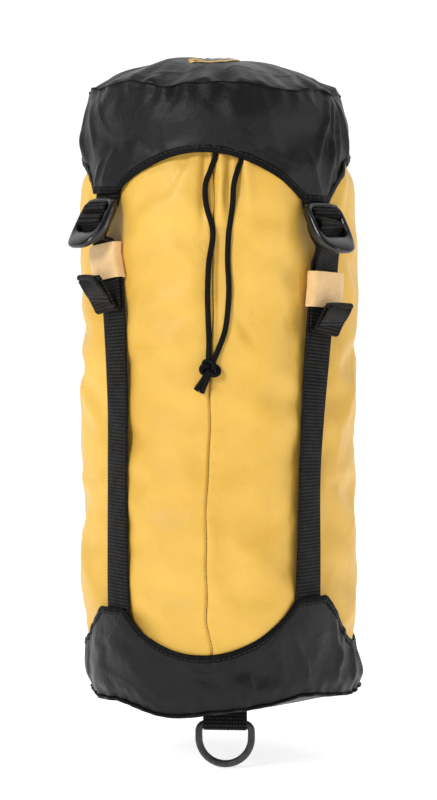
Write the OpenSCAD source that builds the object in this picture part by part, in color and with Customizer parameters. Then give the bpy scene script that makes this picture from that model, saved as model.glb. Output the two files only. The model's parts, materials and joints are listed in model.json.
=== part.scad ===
// Compression stuff sack: a drawcord sack between a scalloped lid cap and a scalloped base cup,
// drawn together by four webbing straps. The front faces -Y. The origin is the centre of the
// flat ring that the sack stands on.

/* [Sack] */
// Outer radius of the fabric tube
sack_r = 73; // [72.6:0.1:73]
// Height of the seam between the lid and its side band
sack_h = 336; // [334:1:338]
// Thickness of each fabric solid
wall = 1.2; // [0.8:0.1:1.2]
// Outer radius of the tube where it narrows under the lid
neck_r = 69.5; // [68.5:0.1:69.5]
// Inner radius of the gathered mouth
mouth_r = 14; // [13:0.5:14]

/* [Lid cap] */
// Rise of the lid above its seam
dome_rise = 19; // [16:0.5:20]
// Height of the cap's four points
cap_point_z = 275; // [274:0.5:276]
// Height of the cap's edge between two points
cap_dip_z = 298; // [296:0.5:300]
// Outer radius of the printed ring on the lid
emblem_r = 14; // [10:0.5:16]

/* [Base cup] */
// Height of the cup's four points
cup_point_z = 58; // [54:0.5:60]
// Height of the cup's edge between two points
cup_dip_z = 33; // [31:0.5:35]
// Width of the bound edge on the cap and the cup
binding_w = 5; // [4:0.5:6]
// Radius of the recess inside the ring that the sack stands on
recess_r = 51; // [50.5:0.5:54]

/* [Straps] */
// Width of the webbing
strap_w = 20; // [19:0.5:20]
// Thickness of the webbing
strap_t = 1.4; // [1.2:0.1:1.4]
// Angle of each strap from the front or the back
strap_angle = 48; // [47:0.5:50]
// Width of each elastic keeper, pressed flat round the strap and its tail
keeper_w = 26; // [25:0.5:28]
// Height of each elastic keeper
keeper_h = 19; // [18:0.5:19]

/* [Ladder locks] */
// Width across the side rails
lock_w = 27; // [26.8:0.2:29]
// Length from the top bar to the tip of the lip
lock_l = 30; // [29.5:0.5:31]
// Radius of the top bar, which the lock turns on
lock_bar_r = 1.6; // [1.5:0.05:1.6]
// Lean away from the sack
lock_tilt = 30; // [28:0.5:34]

/* [D-ring] */
// Diameter of the ring's wire
ring_wire = 4; // [3.6:0.1:4]
// Inside width of the ring
ring_inside = 25; // [24.8:0.1:26]
// Width of the webbing tab that holds the ring
ring_tab_w = 24; // [22:0.5:24]
// Distance of the ring to the right of the middle
ring_x = 6; // [0:0.5:8]

/* [Drawcord] */
// Diameter of the cord
cord_d = 3; // [2.6:0.1:3]

/* [Hidden] */
$fn = 96;
corners = ["front_left", "front_right", "rear_right", "rear_left"];
corner_phi = [-strap_angle, strap_angle, 180 - strap_angle, strap_angle - 180];
// Height of the bend in each strap's folded end, and of the keeper above it
fold_z = [218, 206, 214, 210];
keeper_z = [232.5, 217.5, 229, 225];
// Rise of the turned-up end above the bend
flap_rise = [16, 13, 15, 14];
// Height of each ladder lock's top bar
pivot_z = [274, 271, 273, 272];

per_corner = ["buckle_tab", "ladder_lock", "strap", "strap_wrap", "strap_tail", "strap_end", "keeper"];

gap = 0.3;
seam_h = 2.4;
foot_t = 1.2;
recess_h = 2.4;

// Layers of the straps outwards from the fabric tube
keeper_t = 0.7;
strap_r = sack_r + 1.2;
tail_r = strap_r + strap_t + gap;
strap_top_z = 266;
tail_top_z = 262;
stem_h = 3;

// The cup's skin lies over the strap ends, and the cap's skin under them
cup_r = strap_r + strap_t + gap;
cap_r = sack_r + 0.5;
dome_r = (pow(cap_r + wall, 2) + pow(dome_rise, 2)) / (2 * dome_rise);
dome_centre_z = sack_h + dome_rise - dome_r;

// Half widths of the scallops where they reach the level of the points
scallop_front = 51.4;
scallop_side = 40.8;

shoulder_r = 14;
shoulder_z = 308;
neck_z = 297;
neck_low_z = 285;
mouth_z = 327;

pivot_r = 78.5;
bar_clearance = 0.07;
rail_w = 3;
rail_t = 3.2;
middle_bar = 12.5;
lower_bar = 21;
lip_top = 25.5;

cord_r = cord_d / 2;
hem_r = 18;
hem_t = 4;
hem_z = 333;
hem_bore_r = cord_r + 0.2;

lock_y = -30;
lock_r = 5.5;
plunger_r = 3.9;
plunger_travel = 3;
cord_slot_w = 7.2;

ring_y = -32;
ring_bar_z = -11.4;
ring_side = 7.8;
ring_half = (ring_inside + ring_wire) / 2;

// Route of each drawcord tail from the hem, through the cord lock, over the shoulder, out under
// the cap's edge and down the front to the knot. Each point is [x, distance from the axis, z].
tail_left = [
    [-1.7, 17, 333], [-1.7, 24, 333], [-1.7, 36, 333], [-1.7, 48, 333], [-1.2, 54, 332.5],
    [0.4, 60, 330], [2.2, 66.5, 322.5], [3.2, 70.6, 314], [3.7, 71.7, 306], [3.6, 72, 297],
    [1.4, 73.8, 290], [-1.2, 75.3, 282], [-1, 75.3, 272], [2.6, 75.3, 257], [0.6, 75.3, 242],
    [-0.2, 75.3, 226], [0.2, 75.3, 210], [0.6, 76, 199.5], [0.4, 77.4, 188.5]
];
tail_right = [
    [1.7, 17, 333], [1.7, 24, 333], [1.7, 36, 333], [1.7, 48, 333], [3.4, 54, 332.5],
    [7.5, 60, 330], [12.4, 66.5, 322.5], [15.8, 70.4, 314], [17.4, 71.3, 306], [17.4, 71.5, 296.8],
    [15.3, 73.6, 289.5], [13.5, 75.3, 282], [12.8, 75.3, 271], [10.8, 75.3, 256], [10.3, 75.3, 243],
    [10.9, 75.3, 225], [9, 75.3, 206], [5.6, 76, 196], [2.6, 77.4, 188.5]
];
knot_x = 0.8;
knot_y = -77.8;
knot_z = 186;
knot_r = 4;

// ---- Swept tubes ----

function unit(v) = v / norm(v);

function round_spot(p) = [p[0], -sqrt(p[1] * p[1] - p[0] * p[0]), p[2]];

function route(spots) = [for (p = spots) round_spot(p)];

function heading(line, i) = unit(line[min(i + 1, len(line) - 1)] - line[max(i - 1, 0)]);

function square_to(side, along) = unit(side - (side * along) * along);

// A side direction at each point, carried along the line without twist
function sides(line, first) = [
    for (
        i = 0, side = square_to(first, heading(line, 0));
        i < len(line);
        i = i + 1, side = i < len(line) ? square_to(side, heading(line, i)) : side
    ) side
];

module tube(line, radius, around = 8, first = [1, 0, 0]) {
    rings = len(line);
    across = sides(line, first);
    corners_all = [
        for (i = [0:rings - 1])
        let (u = across[i], v = cross(heading(line, i), u))
        for (k = [0:around - 1])
        line[i] + radius * (cos(360 * k / around) * u + sin(360 * k / around) * v)
    ];
    walls = [
        for (i = [0:rings - 2], k = [0:around - 1])
        let (a = i * around, b = (k + 1) % around)
        [a + k, a + around + k, a + around + b, a + b]
    ];
    start = [for (k = [0:around - 1]) k];
    end = [for (k = [around - 1:-1:0]) (rings - 1) * around + k];
    polyhedron(corners_all, concat([start, end], walls), convexity = 10);
}

// ---- Shared shapes ----

// A block bent round the sack's axis, centred on the front
module bent_block(inner, outer, width, low, high) {
    angle = 2 * asin(width / (inner + outer));
    rotate([0, 0, -90 - angle / 2])
        rotate_extrude(angle = angle)
            translate([inner, low])
                square([outer - inner, high - low]);
}

module hoop(inner, outer, low, high) {
    rotate_extrude()
        translate([inner, low])
            square([outer - inner, high - low]);
}

module at_corner(i) {
    rotate([0, 0, corner_phi[i]])
        children();
}

function scallop_r(half, rise) = (half * half + rise * rise) / (2 * rise);

// Everything beyond a scalloped edge: a round-nosed slot across the sack, towards +Z or -Z
module scallop(half, dip, tip, grow) {
    rise = abs(tip - dip);
    away = tip > dip ? 1 : -1;
    radius = scallop_r(half, rise) + grow;
    centre_z = dip + away * (radius - grow);
    translate([0, 0, centre_z])
        rotate([90, 0, 0])
            cylinder(r = radius, h = 200, center = true);
    translate([-radius, -100, min(centre_z, centre_z + away * 200)])
        cube([2 * radius, 200, 200]);
}

module scallops(dip, tip, grow = 0) {
    scallop(scallop_front, dip, tip, grow);
    rotate([0, 0, 90])
        scallop(scallop_side, dip, tip, grow);
}

// ---- Sack ----

module body_tube() {
    color("goldenrod")
        hoop(sack_r - wall, sack_r, foot_t, neck_low_z);
}

// The gathered top of the tube: it narrows, turns in over a shoulder and ends at the mouth
module body_neck() {
    steps = 8;
    shoulder = [
        for (k = [0:steps])
        let (a = 90 * k / steps)
        [neck_r - shoulder_r + shoulder_r * cos(a), shoulder_z + shoulder_r * sin(a)]
    ];
    inner_shoulder = [
        for (k = [steps:-1:0])
        let (a = 90 * k / steps, r = shoulder_r - wall)
        [neck_r - shoulder_r + r * cos(a), shoulder_z + r * sin(a)]
    ];
    outside = [[sack_r, neck_low_z], [neck_r, neck_z]];
    inside = [[neck_r - wall, neck_z], [sack_r - wall, neck_low_z]];
    mouth = [[mouth_r, mouth_z], [mouth_r, mouth_z - wall]];
    color("goldenrod")
        rotate_extrude()
            polygon(concat(outside, shoulder, mouth, inner_shoulder, inside));
}

module front_seam() {
    color("darkgoldenrod")
        bent_block(sack_r, sack_r + 0.5, 6, cup_dip_z + 2, neck_low_z - 1);
}

// ---- Base ----

module bottom_panel() {
    color("dimgray")
        rotate_extrude()
            polygon([
                [0, recess_h],
                [recess_r, recess_h],
                [recess_r, 0],
                [cup_r - 0.2, 0],
                [cup_r - 0.2, foot_t],
                [recess_r + foot_t, foot_t],
                [recess_r + foot_t, recess_h + foot_t],
                [0, recess_h + foot_t]
            ]);
}

module base_seam() {
    color("black")
        hoop(cup_r, cup_r + wall + 0.2, 0.2, seam_h);
}

module base_cup() {
    color("dimgray")
        difference() {
            hoop(cup_r, cup_r + wall, seam_h, cup_point_z - binding_w);
            scallops(cup_dip_z, cup_point_z, binding_w);
        }
}

module base_cup_binding() {
    color("black")
        difference() {
            intersection() {
                hoop(cup_r, cup_r + wall + 0.4, seam_h, cup_point_z);
                union() {
                    scallops(cup_dip_z, cup_point_z, binding_w);
                    hoop(cup_r - 1, cup_r + 10, cup_point_z - binding_w, cup_point_z + 1);
                }
            }
            scallops(cup_dip_z, cup_point_z);
        }
}

module ring_patch() {
    color("black")
        translate([ring_x - 24, ring_y - 10, recess_h - 1.1])
            cube([48, 20, 1]);
}

module ring_tab() {
    top_z = recess_h - 1.1 - ring_bar_z;
    color("dimgray")
        translate([ring_x, ring_y, ring_bar_z])
            difference() {
                union() {
                    translate([-ring_tab_w / 2, -1.3, 0])
                        cube([ring_tab_w, 2.6, top_z]);
                    rotate([0, 90, 0])
                        cylinder(r = ring_wire / 2 + 1.3, h = ring_tab_w, center = true);
                }
                rotate([0, 90, 0])
                    cylinder(r = ring_wire / 2 + bar_clearance, h = ring_tab_w + 2, center = true);
            }
}

module d_ring() {
    wire_r = ring_wire / 2;
    color("dimgray")
        translate([ring_x, ring_y, ring_bar_z]) {
            rotate([0, 90, 0])
                cylinder(r = wire_r, h = 2 * ring_half, center = true);
            for (side = [-1, 1]) {
                translate([side * ring_half, 0, 0])
                    sphere(r = wire_r);
                translate([side * ring_half, 0, -ring_side])
                    cylinder(r = wire_r, h = ring_side);
            }
            translate([0, 0, -ring_side])
                rotate([90, 0, 0])
                    rotate([0, 0, 180])
                        rotate_extrude(angle = 180)
                            translate([ring_half, 0])
                                circle(r = wire_r);
        }
}

// ---- Lid cap ----

module cap_band() {
    color("dimgray")
        difference() {
            hoop(cap_r, cap_r + wall, cap_point_z + binding_w, sack_h);
            scallops(cap_dip_z, cap_point_z, binding_w);
        }
}

module cap_binding() {
    color("black")
        difference() {
            intersection() {
                hoop(cap_r, cap_r + wall + 0.4, cap_point_z, sack_h);
                union() {
                    scallops(cap_dip_z, cap_point_z, binding_w);
                    hoop(cap_r - 1, cap_r + 10, cap_point_z - 1, cap_point_z + binding_w);
                }
            }
            scallops(cap_dip_z, cap_point_z);
        }
}

module lid_panel() {
    color("dimgray")
        difference() {
            intersection() {
                translate([0, 0, dome_centre_z])
                    sphere(r = dome_r);
                translate([0, 0, sack_h])
                    cylinder(r = cap_r + wall, h = 2 * dome_rise);
            }
            translate([0, 0, dome_centre_z])
                sphere(r = dome_r - wall);
        }
}

module lid_seam_tape() {
    color("black")
        hoop(cap_r + wall, cap_r + wall + 0.8, sack_h - 1.5, sack_h + 1.5);
}

module emblem() {
    color("gold")
        difference() {
            intersection() {
                translate([0, 0, dome_centre_z])
                    sphere(r = dome_r + 0.2);
                translate([0, -emblem_r - 18, sack_h])
                    difference() {
                        cylinder(r = emblem_r, h = 2 * dome_rise);
                        translate([0, 0, -1])
                            cylinder(r = emblem_r - 3, h = 2 * dome_rise + 2);
                    }
            }
            translate([0, 0, dome_centre_z])
                sphere(r = dome_r);
        }
}

// ---- Drawcord ----

module hem_channel() {
    color("goldenrod")
        difference() {
            translate([0, 0, hem_z])
                rotate_extrude()
                    translate([hem_r, 0])
                        difference() {
                            circle(r = hem_t);
                            circle(r = hem_bore_r);
                        }
            translate([-cord_slot_w / 2, -hem_r - 6, hem_z - hem_bore_r])
                cube([cord_slot_w, 6, 2 * hem_bore_r]);
        }
}

module drawcord_loop() {
    opening = 20;
    color("black")
        translate([0, 0, hem_z])
            rotate([0, 0, -90 + opening / 2])
                rotate_extrude(angle = 360 - opening)
                    translate([hem_r, 0])
                        circle(r = cord_r);
}

module drawcord_left() {
    color("black")
        tube(route(tail_left), cord_r);
}

module drawcord_right() {
    color("black")
        tube(route(tail_right), cord_r);
}

module cord_knot() {
    color("black")
        translate([knot_x, knot_y, knot_z]) {
            hull()
                for (side = [-1, 1])
                    translate([side * 2, 0, side])
                        sphere(r = knot_r, $fn = 24);
            for (lean = [-35, -12])
                rotate([0, -lean, 0])
                    translate([0, 0, -12])
                        cylinder(r = cord_r, h = 10, $fn = 24);
        }
}

// ---- Cord lock, its plunger lying along X and the cords passing along Y ----

module cord_slot(low, high) {
    translate([low, lock_y - 10, hem_z - cord_r - gap])
        cube([high - low, 20, cord_d + 2 * gap]);
}

module cord_lock_barrel() {
    closed_end = -14.2;
    open_end = 8;
    color("black")
        difference() {
            translate([closed_end, lock_y, hem_z])
                rotate([0, 90, 0])
                    cylinder(r = lock_r, h = open_end - closed_end);
            translate([closed_end + 1.2, lock_y, hem_z])
                rotate([0, 90, 0])
                    cylinder(r = plunger_r + 0.06, h = 40);
            cord_slot(-cord_slot_w / 2, cord_slot_w / 2);
        }
}

module cord_lock_plunger() {
    half = cord_slot_w / 2;
    color("dimgray")
        difference() {
            union() {
                translate([-5, lock_y, hem_z])
                    rotate([0, 90, 0])
                        cylinder(r = plunger_r, h = 17);
                translate([11.3, lock_y, hem_z])
                    rotate([0, 90, 0])
                        cylinder(r = 5, h = 2.2);
            }
            cord_slot(-half, half + plunger_travel);
        }
}

module cord_lock_spring() {
    turns = 4;
    steps = 12;
    low = -12.7;
    high = -5.3;
    coil = [
        for (k = [0:turns * steps])
        let (a = 360 * k / steps, share = k / (turns * steps))
        [low + (high - low) * share, lock_y + 3 * cos(a), hem_z + 3 * sin(a)]
    ];
    color("silver")
        tube(coil, 0.3, 6, [0, 1, 0]);
}

// ---- Straps and ladder locks, one set at each corner ----

module strap(i) {
    color("black")
        at_corner(i)
            bent_block(strap_r, strap_r + strap_t, strap_w, seam_h, strap_top_z);
}

module strap_tail(i) {
    color("black")
        at_corner(i)
            bent_block(tail_r, tail_r + strap_t, strap_w, fold_z[i] + stem_h, tail_top_z);
}

// The tail's folded end: a bend, with the doubled flap leaning out from it
module strap_end(i) {
    bend_r = 2.4;
    lean = 22;
    color("black")
        at_corner(i)
            translate([-strap_w / 2 + 0.5, -tail_r, fold_z[i]])
                rotate([90, 0, 90])
                    linear_extrude(strap_w - 1)
                        mirror([1, 0]) {
                            translate([-0.3, 0])
                                square([strap_t, stem_h]);
                            difference() {
                                translate([bend_r - 0.3, 0])
                                    circle(r = bend_r, $fn = 32);
                                translate([strap_t - 0.3, 0])
                                    square([2 * bend_r, bend_r]);
                            }
                            translate([2 * bend_r - 0.3, 0])
                                rotate(-lean)
                                    translate([-2.2, -1.5])
                                        square([2.2, flap_rise[i] + 1.5]);
                        }
}

module keeper(i) {
    low = keeper_z[i];
    color("burlywood")
        at_corner(i)
            difference() {
                bent_block(strap_r - 1, tail_r + strap_t + 1, keeper_w, low, low + keeper_h);
                bent_block(
                    strap_r - gap,
                    tail_r + strap_t + gap,
                    keeper_w - 2 * keeper_t,
                    low - 1,
                    low + keeper_h + 1
                );
            }
}

module buckle_tab(i) {
    loop_r = lock_bar_r + bar_clearance + 1.3;
    tab_h = 28;
    color("black")
        at_corner(i)
            translate([0, -pivot_r, pivot_z[i]])
                difference() {
                    union() {
                        translate([-strap_w / 2, loop_r - 1.3, 0])
                            cube([strap_w, 1.3, tab_h]);
                        rotate([0, 90, 0])
                            cylinder(r = loop_r, h = strap_w, center = true);
                    }
                    rotate([0, 90, 0])
                        cylinder(r = lock_bar_r + bar_clearance, h = strap_w + 2, center = true);
                }
}

module at_lock(i) {
    at_corner(i)
        translate([0, -pivot_r, pivot_z[i]])
            rotate([-lock_tilt, 0, 0])
                children();
}

module cross_bar(drop, radius, length) {
    translate([0, 0, -drop])
        rotate([0, 90, 0])
            cylinder(r = radius, h = length, center = true);
}

module ladder_lock(i) {
    lip_t = 1.8;
    lip_lean = 20;
    color("dimgray")
        at_lock(i) {
            cross_bar(0, lock_bar_r, lock_w);
            cross_bar(middle_bar, 1.7, lock_w - rail_w);
            cross_bar(lower_bar, 1.5, lock_w - rail_w);
            for (side = [-1, 1])
                translate([side * (lock_w - rail_w) / 2, 0, 0]) {
                    cross_bar(0, 2.2, rail_w);
                    translate([-rail_w / 2, -rail_t / 2, -lip_top - 1])
                        cube([rail_w, rail_t, lip_top + 1]);
                }
            translate([-lock_w / 2, rail_t / 2, -lip_top])
                rotate([-lip_lean, 0, 0])
                    translate([0, -lip_t, lip_top - lock_l])
                        cube([lock_w, lip_t, lock_l - lip_top]);
        }
}

// The strap where it comes forward, over the middle bar and back
module strap_wrap(i) {
    inner = 1.75;
    outer = inner + strap_t;
    color("black")
        at_lock(i)
            translate([0, 0, -middle_bar])
                rotate([0, 90, 0])
                    linear_extrude(strap_w, center = true)
                        difference() {
                            union() {
                                circle(r = outer);
                                translate([-outer, 0])
                                    square([2 * outer, 3]);
                            }
                            circle(r = inner);
                            translate([-inner, 0])
                                square([2 * inner, 5]);
                        }
}

// ---- Nodes ----

body_tube();
body_neck();
front_seam();
bottom_panel();
base_seam();
base_cup();
base_cup_binding();
ring_patch();
ring_tab();
d_ring();
cap_band();
lid_panel();
cap_binding();
lid_seam_tape();
emblem();
hem_channel();
drawcord_loop();
drawcord_left();
drawcord_right();
cord_knot();
cord_lock_barrel();
cord_lock_plunger();
cord_lock_spring();
for (i = [0:3]) {
    buckle_tab(i);
    ladder_lock(i);
    strap(i);
    strap_wrap(i);
    strap_tail(i);
    strap_end(i);
    keeper(i);
}
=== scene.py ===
"""Compression stuff sack: fabric, webbing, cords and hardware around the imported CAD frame."""

import json
import math

import bpy
import numpy as np
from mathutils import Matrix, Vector


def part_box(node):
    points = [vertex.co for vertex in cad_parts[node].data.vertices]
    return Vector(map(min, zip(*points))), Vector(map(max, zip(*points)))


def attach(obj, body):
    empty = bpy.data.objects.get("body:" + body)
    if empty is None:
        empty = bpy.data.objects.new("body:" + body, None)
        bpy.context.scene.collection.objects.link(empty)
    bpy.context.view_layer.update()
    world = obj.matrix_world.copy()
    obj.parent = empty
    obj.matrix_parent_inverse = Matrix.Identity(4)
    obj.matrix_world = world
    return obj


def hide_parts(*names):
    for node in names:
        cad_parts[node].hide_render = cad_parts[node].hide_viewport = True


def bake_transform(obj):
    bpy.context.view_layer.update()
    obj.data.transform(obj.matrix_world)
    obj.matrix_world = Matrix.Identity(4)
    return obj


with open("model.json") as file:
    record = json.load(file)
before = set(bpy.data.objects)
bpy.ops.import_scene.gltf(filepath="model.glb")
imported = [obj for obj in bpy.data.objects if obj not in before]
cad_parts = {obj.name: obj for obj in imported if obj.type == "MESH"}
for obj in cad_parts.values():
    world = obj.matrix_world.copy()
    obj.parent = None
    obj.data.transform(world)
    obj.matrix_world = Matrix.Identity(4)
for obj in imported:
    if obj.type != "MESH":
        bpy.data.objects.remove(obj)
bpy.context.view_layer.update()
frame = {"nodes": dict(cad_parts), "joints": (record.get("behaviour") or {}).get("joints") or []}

MM = 0.001
TAU = 2 * math.pi
CORNERS = ("front_left", "front_right", "rear_right", "rear_left")
joints = {j["name"]: j for j in frame["joints"]}


def box_z(node):
    """The lowest and highest z of a CAD node, in millimetres"""
    low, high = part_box(node)
    return low[2] / MM, high[2] / MM


# ---- Sizes in millimetres, most of them from the frame ----

pivot = {c: np.array(joints[f"lock_hinge_{c}"]["pos_m"]) / MM for c in CORNERS}
CORNER_PHI = {c: math.atan2(p[0], -p[1]) for c, p in pivot.items()}
PIVOT_R = math.hypot(*pivot["front_left"][:2])
SACK_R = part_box("body_tube")[1][0] / MM
SEAM_Z = box_z("cap_band")[1]
LID_TOP = box_z("lid_panel")[1]
CAP_POINT_Z = box_z("cap_binding")[0]
CAP_DIP_Z = box_z("cap_binding")[1] - 5
CUP_POINT_Z = box_z("base_cup_binding")[1]
CUP_DIP_Z = box_z("base_cup_binding")[0] + 5
STRAP_W = 20
RIB_PITCH = 1.85  # of the ribs across the webbing
WARP_LINES = 22  # points across a strap's face
WARP_DEPTH = 0.05
WARP_PITCH = 1.4  # of the paler columns along the webbing
RING_PIVOT = np.array(joints["ring_hinge"]["pos_m"]) / MM
KEEPER_Z = {c: box_z(f"keeper_{c}") for c in CORNERS}
FOLD_Z = {c: box_z(f"strap_end_{c}")[0] + 2.4 for c in CORNERS}
LOCK_TILT = math.radians(30)


# ---- Small helpers ----

WAVE_COUNT = 16  # plane waves in a random field
CREASE_WIDTH = 0.22  # of the random field's height
CURVE_STEPS = 24  # between two given points of a curve, before it is spaced evenly
TRIAL_FRAMES = 15  # of a cloth simulation


def around(phi, r, z):
    """Points in millimetres from an angle (0 at the front, positive to the right), radius and height"""
    phi, r, z = np.broadcast_arrays(phi, r, z)
    return np.stack([r * np.sin(phi), -r * np.cos(phi), z], axis=-1).astype(float)


def wrapped(angle):
    """An angle brought to between minus and plus half a turn"""
    return (np.asarray(angle) + math.pi) % TAU - math.pi


def smooth_step(x, low, high):
    t = np.clip((x - low) / (high - low), 0, 1)
    return t * t * (3 - 2 * t)


def soft_min(a, b, blend):
    h = np.clip(0.5 + 0.5 * (b - a) / blend, 0, 1)
    return b + (a - b) * h - blend * h * (1 - h)


def waves(phi, z, seed, size, tall=1.0):
    """A smooth random field, about 1 high, that closes round the sack; size is its usual wavelength"""
    rng = np.random.default_rng(seed)
    total = 0
    for _ in range(WAVE_COUNT):
        turn = rng.uniform(0, TAU)
        length = size * rng.uniform(0.7, 1.6)
        lobes = round(math.cos(turn) * TAU * SACK_R / length)
        rise = math.sin(turn) * TAU / (length * tall)
        total = total + np.cos(lobes * phi + rise * z + rng.uniform(0, TAU))
    return total / math.sqrt(WAVE_COUNT / 2)


def ripples(phi, seed, size):
    """The same, round the sack only"""
    return waves(phi, 0 * phi, seed, size)


def creases(phi, z, seed, size, tall=1.0):
    """Narrow ridges where a random field crosses zero, from 0 to 1"""
    return np.exp(-((waves(phi, z, seed, size, tall) / CREASE_WIDTH) ** 2))


def fold(phi, z, start, end, width, height):
    """One fold of cloth, steeper on one side, from start to end as (degrees, millimetres)"""
    u = SACK_R * wrapped(phi - math.radians(start[0]))
    run = np.array([SACK_R * math.radians(end[0] - start[0]), end[1] - start[1]])
    length = np.linalg.norm(run)
    along = (u * run[0] + (z - start[1]) * run[1]) / length
    across = (u * run[1] - (z - start[1]) * run[0]) / length
    taper = smooth_step(along, -0.25 * length, 0.3 * length)
    taper = taper * (1 - smooth_step(along, 0.6 * length, 1.2 * length))
    lean = 1 + 0.5 * np.tanh(across / width)
    return height * taper * lean * np.exp(-((across / width) ** 2))


def folded(r, phi, z, folds):
    for start, end, width, height in folds:
        r = r + fold(phi, z, start, end, width, height)
    return r


def curve_through(points, step):
    """Evenly spaced points on a smooth curve through the given ones"""
    p = np.asarray(points, float)
    ends = np.vstack([2 * p[0] - p[1], p, 2 * p[-1] - p[-2]])
    fine = []
    for i in range(1, len(ends) - 2):
        a, b, c, d = ends[i - 1 : i + 3]
        knots = [0, 0, 0, 0]
        for k, pair in enumerate(((a, b), (b, c), (c, d))):
            knots[k + 1] = knots[k] + max(np.linalg.norm(pair[1] - pair[0]), 1e-6) ** 0.5
        t0, t1, t2, t3 = knots
        for t in np.linspace(t1, t2, CURVE_STEPS, endpoint=False):
            ab = (t1 - t) / (t1 - t0) * a + (t - t0) / (t1 - t0) * b
            bc = (t2 - t) / (t2 - t1) * b + (t - t1) / (t2 - t1) * c
            cd = (t3 - t) / (t3 - t2) * c + (t - t2) / (t3 - t2) * d
            abc = (t2 - t) / (t2 - t0) * ab + (t - t0) / (t2 - t0) * bc
            bcd = (t3 - t) / (t3 - t1) * bc + (t - t1) / (t3 - t1) * cd
            fine.append((t2 - t) / (t2 - t1) * abc + (t - t1) / (t2 - t1) * bcd)
    fine.append(p[-1])
    return spaced(np.array(fine), step)


def run_of(line):
    """Length along a line up to each of its points"""
    return np.concatenate([[0], np.cumsum(np.linalg.norm(np.diff(line, axis=0), axis=1))])


def spaced(line, step):
    run = run_of(line)
    count = max(2, int(round(run[-1] / step)) + 1)
    at = np.linspace(0, run[-1], count)
    return np.stack([np.interp(at, run, line[:, k]) for k in range(line.shape[1])], axis=-1)


def power_of(value, exponent):
    return np.sign(value) * np.abs(value) ** exponent


def unit(v):
    return v / np.maximum(np.linalg.norm(v, axis=-1, keepdims=True), 1e-12)


def make_mesh(name, points, faces, material, uv=None):
    """A mesh object from points in millimetres; uv is one pair per point, in millimetres too"""
    mesh = bpy.data.meshes.new(name)
    mesh.from_pydata((np.asarray(points) * MM).tolist(), [], [list(map(int, f)) for f in faces])
    if uv is not None:
        layer = mesh.uv_layers.new(name="flat")
        corners = np.empty(len(mesh.loops), dtype=np.int32)
        mesh.loops.foreach_get("vertex_index", corners)
        layer.data.foreach_set("uv", np.asarray(uv, float)[corners].ravel())
    mesh.polygons.foreach_set("use_smooth", [True] * len(mesh.polygons))
    mesh.materials.append(material)
    mesh.update()
    piece = bpy.data.objects.new(name, mesh)
    bpy.context.scene.collection.objects.link(piece)
    return piece


def stands_for(piece, body, slot, *nodes):
    """Puts a piece on a body and lets it replace CAD nodes; slot, the name of its finish, is not used"""
    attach(piece, body)
    if nodes:
        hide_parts(*nodes)


def grid_faces(rows, cols, first=0):
    """Quads between neighbouring rows of points, closing round the columns"""
    r = np.arange(rows - 1)[:, None]
    c = np.arange(cols)[None, :]
    n = (c + 1) % cols
    quads = np.stack([r * cols + c, r * cols + n, (r + 1) * cols + n, (r + 1) * cols + c], -1)
    return quads.reshape(-1, 4) + first


def grid_normals(grid):
    """Unit normals of a grid of points [row, column] whose rows are closed loops"""
    over = (np.roll(grid, -1, axis=1) - np.roll(grid, 1, axis=1)) / 2
    return unit(np.cross(over, np.gradient(grid, axis=0)))


def cloth_shell(name, grid, material, thick, uv):
    """A thin closed skin: a grid of points whose rows are loops, and a second face behind its normals"""
    rows, cols = grid.shape[:2]
    inner = grid - thick * grid_normals(grid)
    points = np.concatenate([grid.reshape(-1, 3), inner.reshape(-1, 3)])
    count = rows * cols
    faces = [grid_faces(rows, cols), grid_faces(rows, cols, count)[:, ::-1]]
    for first in (0, count - cols):
        c = first + np.arange(cols)
        n = first + (np.arange(cols) + 1) % cols
        rim = np.stack([c, n, count + n, count + c], -1)
        faces.append(rim[:, ::-1] if first == 0 else rim)
    flat = uv.reshape(-1, 2)
    return make_mesh(name, points, np.concatenate(faces), material, np.concatenate([flat, flat]))


def sampled(field, row, col):
    """Values of a coarse field at fractional rows and columns; the columns close round the sack"""
    rows, cols = field.shape
    row = np.clip(row, 0, rows - 1.001)
    r, c = row.astype(int), np.floor(col).astype(int)
    fr, fc = row - r, col - c
    c, d = c % cols, (c + 1) % cols
    low = field[r, c] * (1 - fc) + field[r, d] * fc
    high = field[r + 1, c] * (1 - fc) + field[r + 1, d] * fc
    return low * (1 - fr) + high * fr


def eased(grid, held, ease, pressure, limit):
    """How far outwards each point of a closed skin moves when it is simulated as slightly roomy cloth"""
    rows, cols = grid.shape[:2]
    sheet = make_mesh("cloth_trial", grid.reshape(-1, 3), grid_faces(rows, cols), NYLON)
    group = sheet.vertex_groups.new(name="held")
    group.add(np.flatnonzero(held.ravel()).tolist(), 1.0, "REPLACE")
    cloth = sheet.modifiers.new("cloth", "CLOTH")
    settings = cloth.settings
    settings.quality = 6
    settings.mass = 0.02
    settings.bending_stiffness = 2
    settings.air_damping = 2
    settings.use_pressure = True
    settings.uniform_pressure_force = pressure
    settings.vertex_group_mass = "held"
    settings.shrink_min = -ease
    settings.effector_weights.gravity = 0
    cloth.collision_settings.use_collision = False
    scene = bpy.context.scene
    for step in range(1, TRIAL_FRAMES + 1):
        scene.frame_set(step)
    moved = sheet.evaluated_get(bpy.context.evaluated_depsgraph_get()).to_mesh()
    points = np.empty(rows * cols * 3)
    moved.vertices.foreach_get("co", points)
    points = points.reshape(rows, cols, 3) / MM
    bpy.data.objects.remove(sheet, do_unlink=True)
    scene.frame_set(1)
    out = np.hypot(points[..., 0], points[..., 1]) - np.hypot(grid[..., 0], grid[..., 1])
    for _ in range(2):
        padded = np.pad(out, ((1, 1), (0, 0)), mode="edge")
        out = 0.5 * out + 0.125 * (padded[:-2] + padded[2:] + np.roll(out, 1, 1) + np.roll(out, -1, 1))
    return limit * np.tanh(out / limit)


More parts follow.
